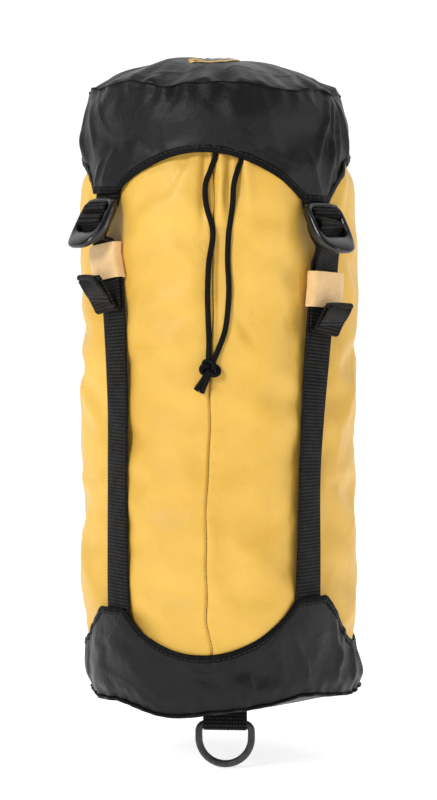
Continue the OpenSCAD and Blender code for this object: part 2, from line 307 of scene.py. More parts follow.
def carried_sides(line, side):
    """A unit vector square to the line at each point, carried along without twist"""
    heading = unit(np.gradient(line, axis=0))
    out = []
    for t in heading:
        side = side - np.dot(side, t) * t
        side = side / np.linalg.norm(side)
        out.append(side)
    return heading, np.array(out)


def swept(line, section, side):
    """Rings of points: section(i) gives the (across, out) pairs round point i of the line"""
    heading, across = carried_sides(np.asarray(line, float), np.asarray(side, float))
    out = np.cross(heading, across)
    rings = []
    for i, p in enumerate(line):
        pairs = section(i)
        rings.append(p + pairs[:, :1] * across[i] + pairs[:, 1:2] * out[i])
    return np.array(rings)


def solid_of_rings(rings):
    """Points and faces of a closed solid whose skin is rings of points, capped at both ends"""
    count, sides = rings.shape[:2]
    caps = rings[[0, -1]].mean(axis=1)
    points = np.concatenate([rings.reshape(-1, 3), caps])
    faces = grid_faces(count, sides).tolist()
    for k in range(sides):
        n = (k + 1) % sides
        faces.append([n, k, count * sides])
        faces.append([(count - 1) * sides + k, (count - 1) * sides + n, count * sides + 1])
    return points, faces


def closed_loft(rows):
    """Points and faces of a ring-shaped solid from closed rows of points, themselves closed"""
    count, cols = rows.shape[:2]
    k = np.arange(count)[:, None]
    c = np.arange(cols)[None, :]
    k, n, c, d = np.broadcast_arrays(k, (k + 1) % count, c, (c + 1) % cols)
    quads = np.stack([k * cols + c, k * cols + d, n * cols + d, n * cols + c], -1).reshape(-1, 4)
    return rows.reshape(-1, 3), quads.tolist()


def wound_uv(around_it, along_it):
    """Flat coordinates of a solid of rings: round each ring, and along the line, caps last"""
    uv = np.stack([np.tile(around_it, len(along_it)), np.repeat(along_it, len(around_it))], -1)
    return np.concatenate([uv, uv[:1], uv[-1:]])


def joined(parts):
    """Several (points, faces) pairs as one"""
    points, faces, first = [], [], 0
    for p, f in parts:
        points.append(p)
        faces += [[i + first for i in face] for face in f]
        first += len(p)
    return np.concatenate(points), faces


def circle(radius, sides):
    a = np.arange(sides) / sides * TAU
    return np.stack([radius * np.cos(a), radius * np.sin(a)], -1)


def tube(line, radius, sides=10, side=(1, 0, 0), round_ends=False):
    ring = circle(1, sides)
    sizes = np.full(len(line), float(radius))
    if round_ends:
        run = run_of(line)
        to_end = np.minimum(run, run[-1] - run)
        depth = np.clip(to_end / radius, 0, 1)
        sizes = radius * np.sqrt(np.clip(1 - (1 - depth) ** 2, 0.04, 1))
    return solid_of_rings(swept(line, lambda i: ring * sizes[i], side))


def stitch(middle, along, out, length, radius):
    """One stitch of thread, sunk a little into the cloth at both ends"""
    t = np.linspace(-0.5, 0.5, 5)
    sink = -radius * 1.6 * (np.abs(t) * 2) ** 3
    line = middle + np.outer(t * length, along) + np.outer(sink, out)
    return tube(line, radius, 6, np.cross(along, out))


def row_of_stitches(line, normals, pitch, length, radius):
    """Stitches along a line that lies on a surface with those normals"""
    both = spaced(np.hstack([line, normals]), pitch)
    heading = unit(np.gradient(both[:, :3], axis=0))
    return [
        stitch(p[:3] + radius * 0.5 * unit(p[3:]), h, unit(p[3:]), length, radius)
        for p, h in zip(both, heading)
    ]


def ribbed_section(width, thick, rib, bow):
    """Points round a strap's section, its faces bowed and with fine warp lines along the strap"""
    x = np.linspace(-0.5, 0.5, WARP_LINES) * (width - thick)
    top = thick / 2 + rib + WARP_DEPTH * np.cos(np.arange(WARP_LINES) * math.pi)
    bend = -bow * (2 * x / width) ** 2
    arc = np.linspace(-1, 1, 5)[1:-1] * math.pi / 2
    right = np.stack([x[-1] + thick / 2 * np.cos(arc), -thick / 2 * np.sin(arc) + bend[-1]], -1)
    left = np.stack([x[0] - thick / 2 * np.cos(arc), thick / 2 * np.sin(arc) + bend[0]], -1)
    upper = np.stack([x, top + bend], -1)
    lower = np.stack([x, -top + bend], -1)[::-1]
    return np.concatenate([upper, right, lower, left])


def webbing(line, side, width=STRAP_W, thick=1.3, rib=0.28, bow=0.4, twist=None):
    """Points, faces and flat coordinates of a length of ribbed webbing along a line"""
    line = spaced(np.asarray(line, float), RIB_PITCH / 5)
    run = run_of(line)
    ridge = rib * np.abs(np.sin(math.pi * run / RIB_PITCH)) ** 0.7

    def section(i):
        pairs = ribbed_section(width, thick, ridge[i], bow)
        if twist is None:
            return pairs
        a = twist(run[i] / run[-1])
        return pairs @ np.array([[math.cos(a), math.sin(a)], [-math.sin(a), math.cos(a)]])

    rings = swept(line, section, side)
    points, faces = solid_of_rings(rings)
    count = rings.shape[1]
    return points, faces, wound_uv(np.linspace(0, 2 * width, count), run)


# ---- Materials ----

WEAVE = "weave"


def new_material(name):
    material = bpy.data.materials.new(name)
    material.use_nodes = True
    tree = material.node_tree
    shader = next(n for n in tree.nodes if n.type == "BSDF_PRINCIPLED")
    return material, tree, shader


def add(tree, kind, **settings):
    """A node of that kind; settings are its properties, or its inputs by name"""
    node = tree.nodes.new(kind)
    for name, value in settings.items():
        if hasattr(node, name):
            setattr(node, name, value)
        else:
            node.inputs[name.replace("_", " ")].default_value = value
    return node


def noise_at(tree, scale, detail=3.0, rough=0.5, stretch=(1, 1, 1)):
    """Noise over the object's own coordinates, in metres"""
    place = add(tree, "ShaderNodeMapping", Scale=stretch)
    tree.links.new(add(tree, "ShaderNodeTexCoord").outputs["Object"], place.inputs["Vector"])
    node = add(tree, "ShaderNodeTexNoise", Scale=scale, Detail=detail, Roughness=rough)
    tree.links.new(place.outputs["Vector"], node.inputs["Vector"])
    return node.outputs["Fac"]


def math_node(tree, operation, a, b=None):
    node = add(tree, "ShaderNodeMath", operation=operation)
    for socket, value in zip(node.inputs, (a, b)):
        if value is None:
            continue
        if isinstance(value, (int, float)):
            socket.default_value = value
        else:
            tree.links.new(value, socket)
    return node.outputs["Value"]


def ranged(tree, value, low, high, from_low=0.3, from_high=0.7):
    node = add(tree, "ShaderNodeMapRange")
    tree.links.new(value, node.inputs["Value"])
    node.inputs["From Min"].default_value = from_low
    node.inputs["From Max"].default_value = from_high
    node.inputs["To Min"].default_value = low
    node.inputs["To Max"].default_value = high
    return node.outputs["Result"]


def mixed(tree, share, dark, light):
    node = add(tree, "ShaderNodeMix", data_type="RGBA")
    tree.links.new(share, node.inputs["Factor"])
    node.inputs["A"].default_value = (*dark, 1)
    node.inputs["B"].default_value = (*light, 1)
    return node.outputs["Result"]


def flat_waves(tree, per_mm_across, per_mm_along):
    """Two sine waves over the flat coordinates, across the piece and along it"""
    flat = add(tree, "ShaderNodeUVMap", uv_map="flat").outputs["UV"]
    split = add(tree, "ShaderNodeSeparateXYZ")
    tree.links.new(flat, split.inputs["Vector"])
    return [
        math_node(tree, "SINE", math_node(tree, "MULTIPLY", split.outputs[axis], TAU * per_mm))
        for axis, per_mm in (("X", per_mm_across), ("Y", per_mm_along))
    ]


def weave_height(tree, threads_u, threads_v):
    """A plain weave: threads per millimetre across and along"""
    return math_node(tree, "MULTIPLY", *flat_waves(tree, threads_u, threads_v))


def bump_chain(tree, shader, layers):
    """Bumps laid over each other; each layer is a height, a strength and a distance in millimetres"""
    last = None
    for height, strength, distance in layers:
        node = add(tree, "ShaderNodeBump", Strength=strength, Distance=distance * MM)
        tree.links.new(height, node.inputs["Height"])
        if last is not None:
            tree.links.new(last, node.inputs["Normal"])
        last = node.outputs["Normal"]
    if last is not None:
        tree.links.new(last, shader.inputs["Normal"])


def height_of(tree, kind):
    """A height field: (WEAVE, threads per mm across, along) or noise (scale, detail, roughness, stretch)"""
    return weave_height(tree, *kind[1:]) if kind[0] == WEAVE else noise_at(tree, *kind)


def finish(tree, shader, colour, rough, bumps, values):
    """Links the colour, sets or links the roughness, and adds the bumps and the plain values"""
    tree.links.new(colour, shader.inputs["Base Color"])
    if isinstance(rough, float):
        shader.inputs["Roughness"].default_value = rough
    else:
        tree.links.new(ranged(tree, noise_at(tree, *rough[0]), *rough[1:]), shader.inputs["Roughness"])
    for name, value in values.items():
        shader.inputs[name.replace("_", " ")].default_value = value
    bump_chain(tree, shader, [(height_of(tree, kind), *depth) for kind, *depth in bumps])


def surface(name, tone, dark, light, rough, bumps, tone_range=(0.3, 0.7), **values):
    """A procedural material: two colours mixed by noise; rough is a number or (noise, low, high);
    each bump is a height, a strength and a distance in millimetres; values are the shader's own"""
    material, tree, shader = new_material(name)
    colour = mixed(tree, ranged(tree, noise_at(tree, *tone), 0, 1, *tone_range), dark, light)
    finish(tree, shader, colour, rough, bumps, values)
    return material


def woven_black(name, threads, depth, low, high):
    """Black woven tape or cord, with paler fluff where it rubs"""
    return surface(
        name, (350, 4, 0.65), (0.00165, 0.00165, 0.00165), (0.0048, 0.0048, 0.00495), ((120, 3), low, high),
        [((WEAVE, threads, threads), 0.6, depth), ((900, 2), 0.25, 0.12)],
        tone_range=(0.35, 0.75), Specular_IOR_Level=0.10,
    )


def thread(name, colour):
    light = tuple(1.5 * c for c in colour)
    return surface(name, (700, 3), colour, light, 0.5, [((2500, 2), 0.3, 0.08)])


def ribbed_black():
    """Black webbing: ribs across it, split into columns by the warp, their crowns painted paler as a
    highlight and their grooves painted darker as shade
    """
    material, tree, shader = new_material("webbing_black")
    column, row = [
        math_node(tree, "ABSOLUTE", wave) for wave in flat_waves(tree, 0.5 / WARP_PITCH, 0.5 / RIB_PITCH)
    ]
    crown = math_node(tree, "MULTIPLY", row, math_node(tree, "POWER", column, 0.5))
    fluff = ranged(tree, noise_at(tree, 500, 4, 0.65), 0.75, 1.2)
    # Painted highlight and shade: the rib and warp crests are coloured paler and the grooves darker, varied a
    # little by noise
    share = ranged(tree, math_node(tree, "MULTIPLY", crown, fluff), 0, 1, 0.4, 1.05)
    colour = mixed(tree, share, (0.0008, 0.0008, 0.0009), (0.034, 0.030, 0.027))
    finish(tree, shader, colour, ((120, 3), 0.5, 0.68), [], {"Specular IOR Level": 0.10})
    bump_chain(tree, shader, [(crown, 0.9, 0.26), (noise_at(tree, 900, 2), 0.3, 0.12)])
    return material


def spring_steel():
    material, tree, shader = new_material("spring_steel")
    tree.links.new(ranged(tree, noise_at(tree, 900, 3), 0.25, 0.4), shader.inputs["Roughness"])
    shader.inputs["Base Color"].default_value = (0.55, 0.55, 0.56, 1)
    shader.inputs["Metallic"].default_value = 1
    bump_chain(tree, shader, [(noise_at(tree, 3000, 2), 0.1, 0.05)])
    return material


# Golden coated nylon: a fine plain weave, a soft sheen and small handling creases
NYLON = surface(
    "sack_nylon", (22, 4, 0.55), (0.65, 0.375, 0.052), (0.755, 0.46, 0.080), ((60, 3), 0.42, 0.56),
    [((95, 4, 0.62, (1, 1, 0.8)), 0.45, 1.6), ((420, 2), 0.22, 0.3), ((WEAVE, 2.2, 2.2), 0.25, 0.04)],
    Sheen_Weight=0.34, Sheen_Roughness=0.22, Sheen_Tint=(1, 0.86, 0.6, 1), Specular_IOR_Level=0.4,
)
# Charcoal nylon of the cap and the cup: satin, with soft rubbed highlights
SHELL = surface(
    "shell_nylon", (30, 5, 0.6), (0.0035, 0.0035, 0.0038), (0.008, 0.008, 0.0085), ((45, 4, 0.6), 0.34, 0.48),
    [((150, 5, 0.66), 0.55, 1.2), ((500, 2), 0.25, 0.25), ((WEAVE, 2.0, 2.0), 0.3, 0.05)],
    Specular_IOR_Level=0.22,
)
WEB = ribbed_black()
TAPE = woven_black("tape_black", 0.9, 0.06, 0.45, 0.6)
CORD = woven_black("cord_black", 0.6, 0.08, 0.5, 0.65)
# Tan woven elastic with fine lengthwise ribs
ELASTIC = surface(
    "elastic_tan", (160, 4, 0.6), (0.74, 0.47, 0.20), (0.84, 0.57, 0.28), 0.78,
    [((WEAVE, 0.7, 1.1), 0.5, 0.15), ((800, 3), 0.3, 0.15)],
    Sheen_Weight=0.3, Sheen_Roughness=0.5,
)
# Black acetal with a fine moulded grain
PLASTIC = surface(
    "moulded_plastic", (90, 3), (0.003, 0.003, 0.0032), (0.007, 0.007, 0.0075), ((140, 4, 0.6), 0.18, 0.30),
    [((1500, 2), 0.12, 0.06), ((160, 2), 0.06, 0.3)],
)
# Matte black coated steel with faint wear, which is also rougher
RING = surface(
    "coated_ring", (240, 5, 0.65), (0.030, 0.030, 0.032), (0.10, 0.10, 0.105), ((240, 5, 0.65), 0.42, 0.58),
    [((1100, 3), 0.15, 0.08)], tone_range=(0.45, 0.8), Metallic=0.35,
)
BLACK_THREAD = thread("black_thread", (0.004, 0.004, 0.004))
GREY_THREAD = thread("grey_thread", (0.035, 0.034, 0.033))
GOLD_THREAD = thread("gold_thread", (0.055, 0.028, 0.008))
# Flat gold ink, slightly worn
INK = surface(
    "ink", (500, 5, 0.7), (0.52, 0.30, 0.06), (0.80, 0.50, 0.12), 0.55,
    [((900, 2), 0.2, 0.05)], tone_range=(0.3, 0.6),
)
SPRING = spring_steel()


# ---- Camera ----

VIEW_HEIGHT = 449.44  # what the picture shows from top to bottom at the sack's middle, in millimetres


def add_camera():
    """The photograph's view: from slightly to the right of the front and slightly above"""
    distance, azimuth, elevation = 1.15, math.radians(4.2), math.radians(3.0)
    target = Vector((0, 0, 0.1653))
    level = math.cos(elevation)
    away = Vector((math.sin(azimuth) * level, -math.cos(azimuth) * level, math.sin(elevation)))
    data = bpy.data.cameras.new("camera")
    data.sensor_fit = "VERTICAL"
    data.sensor_height = 36
    data.lens = data.sensor_height * distance / (VIEW_HEIGHT * MM)
    camera = bpy.data.objects.new("camera", data)
    camera.location = target + distance * away
    camera.rotation_euler = (target - camera.location).to_track_quat("-Z", "Y").to_euler()
    bpy.context.scene.collection.objects.link(camera)
    bpy.context.scene.camera = camera


add_camera()


# ---- Drawcord tails and their knot ----

CORD_D = 3
CORD_STEP = 0.6  # between the rings of a cord
BRAID_SIDES = 24
BRAID_STRANDS = 8
BRAID_PITCH = 9  # length of cord in which a strand goes round once, in millimetres
TAIL_LEFT = [
    [-1.7, 17, 333], [-1.7, 24, 333], [-1.7, 36, 333], [-1.7, 48, 333], [-1.2, 54, 332.5],
    [0.4, 60, 330], [2.2, 66.5, 322.5], [3.2, 70.6, 314], [3.7, 71.7, 306], [3.6, 72, 297],
    [1.4, 73.8, 290], [-1.2, 75.3, 282], [-1, 75.3, 272], [2.6, 75.3, 257], [0.6, 75.3, 242],
    [-0.2, 75.3, 226], [0.2, 75.3, 210], [0.6, 76, 199.5], [0.4, 77.4, 188.5]
]
TAIL_RIGHT = [
    [1.7, 17, 333], [1.7, 24, 333], [1.7, 36, 333], [1.7, 48, 333], [3.4, 54, 332.5],
    [7.5, 60, 330], [12.4, 66.5, 322.5], [15.8, 70.4, 314], [17.4, 71.3, 306], [17.4, 71.5, 296.8],
    [15.3, 73.6, 289.5], [13.5, 75.3, 282], [12.8, 75.3, 271], [10.8, 75.3, 256], [10.3, 75.3, 243],
    [10.9, 75.3, 225], [9, 75.3, 206], [5.6, 76, 196], [2.6, 77.4, 188.5]
]


def on_front(route):
    """Points in front of the sack from (x, radius, z)"""
    return [[x, -math.sqrt(r * r - x * x), z] for x, r, z in route]


def braided(line, radius):
    """A round braided sheath along a line: two sets of strands that wind opposite ways"""
    a = np.arange(BRAID_SIDES) / BRAID_SIDES * TAU
    run = run_of(line)

    def section(i):
        wind = run[i] * TAU / BRAID_PITCH
        ridge = np.cos(BRAID_STRANDS / 2 * (a + wind)) * np.cos(BRAID_STRANDS / 2 * (a - wind))
        r = radius * (0.97 + 0.05 * np.abs(ridge))
        return np.stack([r * np.cos(a), r * np.sin(a)], -1)

    rings = swept(line, section, (1, 0, 0))
    points, faces = solid_of_rings(rings)
    return points, faces, wound_uv(radius * a, run)


def cord_tail(name, route):
    """One of the drawcord's two tails, from the hem to the knot"""
    line = curve_through(on_front(route), CORD_STEP)
    points, faces, uv = braided(line, CORD_D / 2)
    piece = make_mesh(name, points, faces, CORD, uv)
    stands_for(piece, "mouth", "cord", name.replace("cord_tail", "drawcord"))


def overhand_knot():
    """The two cords tied together: interlaced turns, with two short cut ends"""
    low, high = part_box("cord_knot")
    centre = np.array([(low[0] + high[0]) / 2 + 1.4 * MM, (low[1] + high[1]) / 2, high[2] - 5.2 * MM]) / MM
    t = np.linspace(0, TAU, 90)
    lobe = 2.6 + 1.35 * np.cos(3 * t)
    loop = np.stack([1.25 * lobe * np.cos(2 * t), 1.5 * np.sin(3 * t), 0.95 * lobe * np.sin(2 * t)], -1)
    turn = math.radians(25)
    spin = np.array([[math.cos(turn), 0, math.sin(turn)], [0, 1, 0], [-math.sin(turn), 0, math.cos(turn)]])
    parts = [tube(loop @ spin.T + centre, 1.45, 14, (0, 1, 0))]
    for points in (
        [(-0.5, -1.0, -1), (-2.6, -1.3, -4.6), (-5.2, -0.4, -8.4), (-7.2, 0.3, -11.2)],
        [(0.5, -0.4, -1), (-1.0, -1.6, -5), (-2.8, -1.0, -9), (-4.2, -0.4, -12.6)],
    ):
        line = curve_through(np.array(points) + centre, CORD_STEP)
        parts.append(braided(line, CORD_D / 2)[:2])
    points, faces = joined(parts)
    piece = make_mesh("knot", points, faces, CORD, points[:, [0, 2]])
    stands_for(piece, "mouth", "cord", "cord_knot")
    return piece


knot = overhand_knot()
cord_tail("cord_tail_left", TAIL_LEFT)
cord_tail("cord_tail_right", TAIL_RIGHT)


# ---- Outlines of the scalloped edges ----


def scallop_edge(phi, dip, tip, radius_front, radius_side, skin_r):
    """Height of a scalloped edge round the sack; tip is above dip on the cup and below it on the cap"""
    away = 1 if tip > dip else -1

    def arc(offset, radius):
        inside = np.clip(radius**2 - offset**2, 0, None)
        return np.where(np.abs(offset) < radius, radius - np.sqrt(inside), 1e3)

    rise = np.minimum(
        arc(skin_r * np.sin(phi), radius_front),
        arc(skin_r * np.cos(phi), radius_side),
    )
    return dip + away * soft_min(rise, np.full_like(rise, abs(tip - dip)), 2.0)


def side_share(phi):
    """0 at the front and the back, 1 at the sides"""
    return smooth_step(np.abs(np.sin(phi)), 0.82, 0.99)


def cup_edge(phi):
    side = side_share(phi)
    lift = 0.5 + 4.7 * np.sin(phi) * (1 - side) - 3.4 * side
    return scallop_edge(phi, CUP_DIP_Z, CUP_POINT_Z, radius_front=55, radius_side=56, skin_r=76.5) + lift


def cap_edge(phi):
    lift = 1.6 - 3.4 * np.sin(phi) * (1 - side_share(phi))
    return scallop_edge(phi, CAP_DIP_Z, CAP_POINT_Z, radius_front=64, radius_side=50, skin_r=75) + lift


def seam_z(phi):
    """The lid's seam sinks a little to the right, and its puckers lift and drop it"""
    pucker = 0.9 * ripples(phi, 39, 48) + 0.35 * ripples(phi, 40, 13)
    return SEAM_Z - 0.8 - 2.4 * np.sin(phi) + pucker


def foot_lift(phi):
    """Rise of the bottom seam above the flat ring: least at the front left, most at the front right"""
    turn = np.degrees(wrapped(phi))
    right = 7.0 * smooth_step(turn, -10, 36) * (1 - 0.6 * smooth_step(turn, 50, 84))
    right = right * (1 - smooth_step(turn, 100, 160))
    left = 4.0 * smooth_step(-turn, 22, 46) * (1 - 0.5 * smooth_step(-turn, 55, 80))
    left = left * (1 - smooth_step(-turn, 105, 160))
    return right + left + 0.5 * ripples(phi, 43, 40)


def near_corner(phi, width):
    """1 at the middle of each strap, falling to about a third at width degrees to either side"""
    total = 0
    for c in CORNERS:
        away = np.degrees(wrapped(phi - CORNER_PHI[c])) / width
        total = total + np.exp(-(away**2))
    return total


# ---- Golden tube ----

# Each fold: start (degrees, mm), end, half width in mm, height in mm
BODY_FOLDS = [
    ((-1, 306), (-2, 262), 2.4, -2.2),
    ((6, 304), (5, 252), 2.4, 2.0),
    ((9.5, 306), (8.5, 268), 2.2, -2.4),
    ((16, 304), (17, 268), 3.0, 1.9),
    ((13, 300), (12.5, 276), 1.8, -1.6),
    ((-8, 302), (-16, 278), 3.0, -1.4),
    ((5, 264), (4, 200), 2.2, -1.9),
    ((11, 250), (12, 205), 2.6, 1.0),
    ((11, 216), (19, 198), 3.0, -1.5),
    ((28, 130), (12, 100), 7.0, 0.8),
    ((32, 112), (18, 92), 6.0, -0.7),
    ((-64, 205), (-76, 196), 5.0, -1.8),
    ((-58, 150), (-80, 178), 6.0, 1.2),
    ((-60, 60), (-82, 90), 6.0, 1.3),
    ((62, 150), (84, 185), 6.0, 1.2),
    ((60, 110), (78, 80), 5.0, -1.2),
    ((66, 250), (84, 215), 6.0, 1.4),
    ((72, 296), (62, 262), 4.0, 1.7),
    ((-70, 300), (-64, 262), 4.0, 1.3),
    ((150, 290), (160, 240), 5.0, 1.6),
    ((178, 300), (176, 250), 4.0, -1.6),
    ((200, 290), (190, 236), 5.0, 1.4),
    ((165, 90), (190, 60), 6.0, 1.2),
    ((110, 120), (95, 160), 6.0, -1.2),
    ((-110, 140), (-95, 100), 6.0, 1.3),
    ((-150, 200), (-175, 170), 7.0, 0.9),
]


def seam_phi(z):
    """Where the front seam runs: it drifts to the right at the top and at the very bottom"""
    drift = np.interp(
        z, [30, 38, 52, 80, 130, 170, 262, 300], [2.8, 2.4, -0.3, -1.0, 0.0, 1.4, 3.0, 2.6]
    )
    return (drift + 0.35 * np.sin(z / 11 + 1) + 0.2 * np.sin(z / 4.7)) / SACK_R


def near_cords(phi, z, low):
    """1 behind the two drawcord tails, falling to 0 beside them and down to the height low"""
    return np.exp(-(((SACK_R * wrapped(phi) - 6) / 15) ** 2)) * smooth_step(z, low, 160)


def body_radius(phi, z):
    """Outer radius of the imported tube, bulging between the straps"""
    belly = smooth_step(z, 8, 60) * (1 - smooth_step(z, 268, 302))
    r = SACK_R + 0.2 + belly * (1.9 + 0.9 * np.cos(phi) ** 2 - 4.6 * near_corner(phi, 12))
    r = r - 3.4 * smooth_step(z, 286, 302)
    r = r - 2.0 * near_cords(phi, z, 105) * (1 - smooth_step(z, 284, 300))
    left = side_share(phi) * (np.sin(phi) < 0)
    r = r - 3.0 * left * (1 - smooth_step(z, 42, 66))
    r = r + 0.55 * belly * waves(phi, z, 11, 90) + 0.25 * belly * waves(phi, z, 12, 34, tall=0.8)
    away = smooth_step(np.abs(np.degrees(wrapped(phi))), 30, 70)
    r = r + 0.4 * creases(phi, z, 13, 60, tall=0.7) * belly * (0.35 + 0.65 * away)
    r = folded(r, phi, z, BODY_FOLDS)
    u = SACK_R * wrapped(phi - seam_phi(z))
    pucker = np.exp(-((u / 6) ** 2)) * (0.4 + 0.6 * np.tanh(np.abs(u) / 1.5))
    r = r + 0.34 * pucker * np.cos(TAU * z / 7.5 + 1.5 * waves(phi * 0, z, 14, 40))
    lap = np.exp(-((u / 5) ** 2)) * smooth_step(u, -0.4, 0.7)
    groove = np.exp(-(((u + 0.3) / 0.8) ** 2))
    return r + 0.6 * lap - 1.3 * groove


BODY_LOW, BODY_HIGH = 12, 300  # of the simulated part
BODY_TOP, BODY_SHOULDER_R = 308, 55.5  # where the tube turns in, and its radius there less the turn's
NECK_PLEATS = 18


def roomy_body():
    """The tube simulated as cloth, held along the straps, at its neck and inside the cup"""
    phi = np.linspace(0, TAU, 160, endpoint=False)
    pp, zz = np.meshgrid(phi, np.linspace(BODY_LOW, BODY_HIGH, 100))
    held = (near_corner(pp, 10) > 0.72) | (zz < 26) | (zz > 294)
    held = held | ((np.abs(SACK_R * wrapped(pp - seam_phi(zz))) < 1.6) & (np.sin(zz / 6.5) > 0.4))
    return eased(around(pp, body_radius(pp, zz), zz), held, ease=0.022, pressure=3, limit=2.6)


def body_surface(phi, z):
    """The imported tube's radius with its simulated wrinkles, calmer under the cords"""
    row = (z - BODY_LOW) / (BODY_HIGH - BODY_LOW) * (len(BODY_CLOTH) - 1)
    col = (phi % TAU) / TAU * BODY_CLOTH.shape[1]
    return body_radius(phi, z) + sampled(BODY_CLOTH, row, col) * (1 - 0.75 * near_cords(phi, z, 110))


def uneven_columns():
    """Angles round the sack, close together at the front seam"""
    near = np.arange(-7, 7.01, 0.5) / SACK_R
    far = np.linspace(near[-1], TAU + near[0], 292)[1:-1]
    return np.concatenate([near, far])


def build_body():
    """The golden tube, drawn in at its top under the lid, where the cord gathers it into pleats"""
    phi = uneven_columns()
    z = np.concatenate([np.linspace(BODY_LOW, BODY_HIGH, 126), np.linspace(301.5, BODY_TOP, 4)])
    pp, zz = np.meshgrid(phi, z)
    grid = around(pp, body_surface(pp, zz), zz)
    share = np.linspace(0, 1, 22)[1:, None]
    angle = share * math.pi / 2
    pleats = 1 + 0.10 * share * np.cos(NECK_PLEATS * phi + 2 * np.sin(3 * phi))
    r = BODY_SHOULDER_R + 14 * np.cos(angle) - 41 * smooth_step(share, 0.35, 1)
    top_z = BODY_TOP + 14 * np.sin(angle) + 4 * share + 0.8 * share * np.cos(NECK_PLEATS * phi)
    grid_top = around(phi, r * pleats, top_z)
    grid = np.concatenate([grid, grid_top])
    run = run_of(grid[:, 0])
    uv = np.stack(np.meshgrid(phi * SACK_R, run), -1)
    piece = cloth_shell("sack_tube", grid, NYLON, 0.5, uv)
    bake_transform(piece)
    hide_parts("body_tube", "body_neck", "front_seam")


def build_seam_thread():
    """The row of stitches beside the front seam"""
    z = np.linspace(36, 296, 400)
    phi = seam_phi(z) - 0.1 / SACK_R
    r = body_surface(phi, z) + 0.1
    line = around(phi, r, z)
    normal = around(phi, 1, 0 * z)
    points, faces = joined(row_of_stitches(line, normal, pitch=1.9, length=1.8, radius=0.24))
    piece = make_mesh("seam_stitches", points, faces, GOLD_THREAD)
    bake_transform(piece)


BODY_CLOTH = roomy_body()
build_body()
build_seam_thread()


# ---- Black skins: the base cup and the lid cap ----

CUP_FOLDS = [
    ((-72, 40), (-66, 8), 3.0, 1.3),
    ((-80, 36), (-78, 12), 3.0, 1.0),
    ((-62, 52), (-66, 30), 2.4, 0.9),
    ((36, 46), (44, 22), 2.6, 0.7),
    ((28, 40), (32, 16), 3.5, 0.5),
    ((58, 50), (66, 20), 3.0, 1.4),
    ((68, 44), (60, 10), 2.6, 1.2),
    ((78, 34), (74, 8), 3.0, 1.7),
    ((86, 30), (88, 6), 3.5, 1.4),
    ((-36, 34), (-22, 12), 5.0, 0.5),
    ((120, 50), (112, 14), 3.5, 1.4),
    ((140, 50), (150, 14), 3.5, 1.2),
    ((175, 32), (172, 6), 4.0, 1.2),
    ((-120, 50), (-112, 14), 3.5, 1.3),
    ((-142, 50), (-150, 14), 3.5, 1.2),
]
CAP_FOLDS = [
    ((64, 334), (47, 292), 2.6, 2.3),
    ((66, 333), (56, 284), 2.4, 2.1),
    ((68, 333), (66, 290), 2.6, 2.2),
    ((72, 333), (78, 298), 3.0, 2.2),
    ((58, 318), (62, 280), 2.4, 1.3),
    ((44, 300), (50, 276), 2.2, 0.9),
    ((-66, 334), (-58, 300), 3.2, 1.3),
    ((-74, 334), (-74, 300), 3.0, 1.2),
    ((-80, 320), (-68, 296), 3.0, 1.1),
    ((-50, 296), (-56, 276), 2.0, 0.8),
    ((-44, 300), (-48, 278), 2.2, 0.7),
    ((8, 336), (12, 312), 4.0, 0.8),
    ((-16, 334), (-26, 306), 5.0, 0.6),
    ((22, 334), (30, 300), 5.0, 0.7),
    ((118, 334), (126, 284), 3.0, 1.8),
    ((104, 334), (112, 300), 3.5, 1.6),
    ((142, 334), (134, 284), 3.0, 1.7),
    ((170, 334), (160, 306), 4.5, 1.3),
    ((-170, 334), (-164, 304), 4.5, 1.2),
    ((-118, 334), (-126, 284), 3.0, 1.8),
    ((-104, 334), (-110, 300), 3.5, 1.5),
    ((-142, 334), (-134, 284), 3.0, 1.6),
]
SKIN_COLS = 600
TRIAL_COLS = 216  # round a skin's simulated sheet
SKIN_THICK = 0.5
LID_DROP = 0.6  # of the lid below the CAD's, to leave room for its wrinkles
TAPE_WIDTH, TAPE_THICK = 3.2, 0.45  # of the binding that shows on the outside


def cup_radius(phi, z):
    """Outer radius of the base cup, snug at its edge and rounded in at the bottom seam"""
    r = np.full_like(phi + z, 76.9)
    r = r + 0.7 * near_corner(phi, 12) * smooth_step(z, 20, 50)
    low = z - foot_lift(phi)
    r = r - (2.4 - 0.8 * np.sin(phi)) * (1 - smooth_step(low, 1, 15)) ** 2
    side = side_share(phi)
    bulge = 1 - smooth_step(z, 10, 36)
    r = r + side * np.where(np.sin(phi) > 0, 2.6 * bulge, 0.8 * bulge - 3.4)
    r = r + 0.5 * waves(phi, z, 21, 70) + 0.2 * waves(phi, z, 22, 22)
    r = r + 0.22 * creases(phi, z, 23, 46)
    r = folded(r, phi, z, CUP_FOLDS)
    gather = 1 - smooth_step(low, 1, 13)
    return r + 0.6 * gather * waves(phi, z * 0.3, 24, 10)


def cap_radius(phi, z):
    """Outer radius of the lid's side band, lifted over the buckle tabs and drawn in at the seam"""
    right = np.clip(np.sin(phi), 0, 1) ** 3
    r = 74.3 - 0.9 * np.sin(phi) + 0 * z
    r = r + 3.0 * near_corner(phi, 13) * (1 - smooth_step(z, 290, 312))
    r = r - 2.6 * smooth_step(z, 316, 338) - 3.6 * right * smooth_step(z, 290, 336)
    r = r + 0.45 * waves(phi, z, 31, 80) + 0.22 * waves(phi, z, 32, 26)
    r = r + 0.25 * creases(phi, z, 33, 50)
    r = folded(r, phi, z, CAP_FOLDS)
    near_seam = smooth_step(z, seam_z(phi) - 12, seam_z(phi))
    return r + 0.6 * near_seam * waves(phi, z * 0.2, 34, 14) - 0.9 * near_seam**3


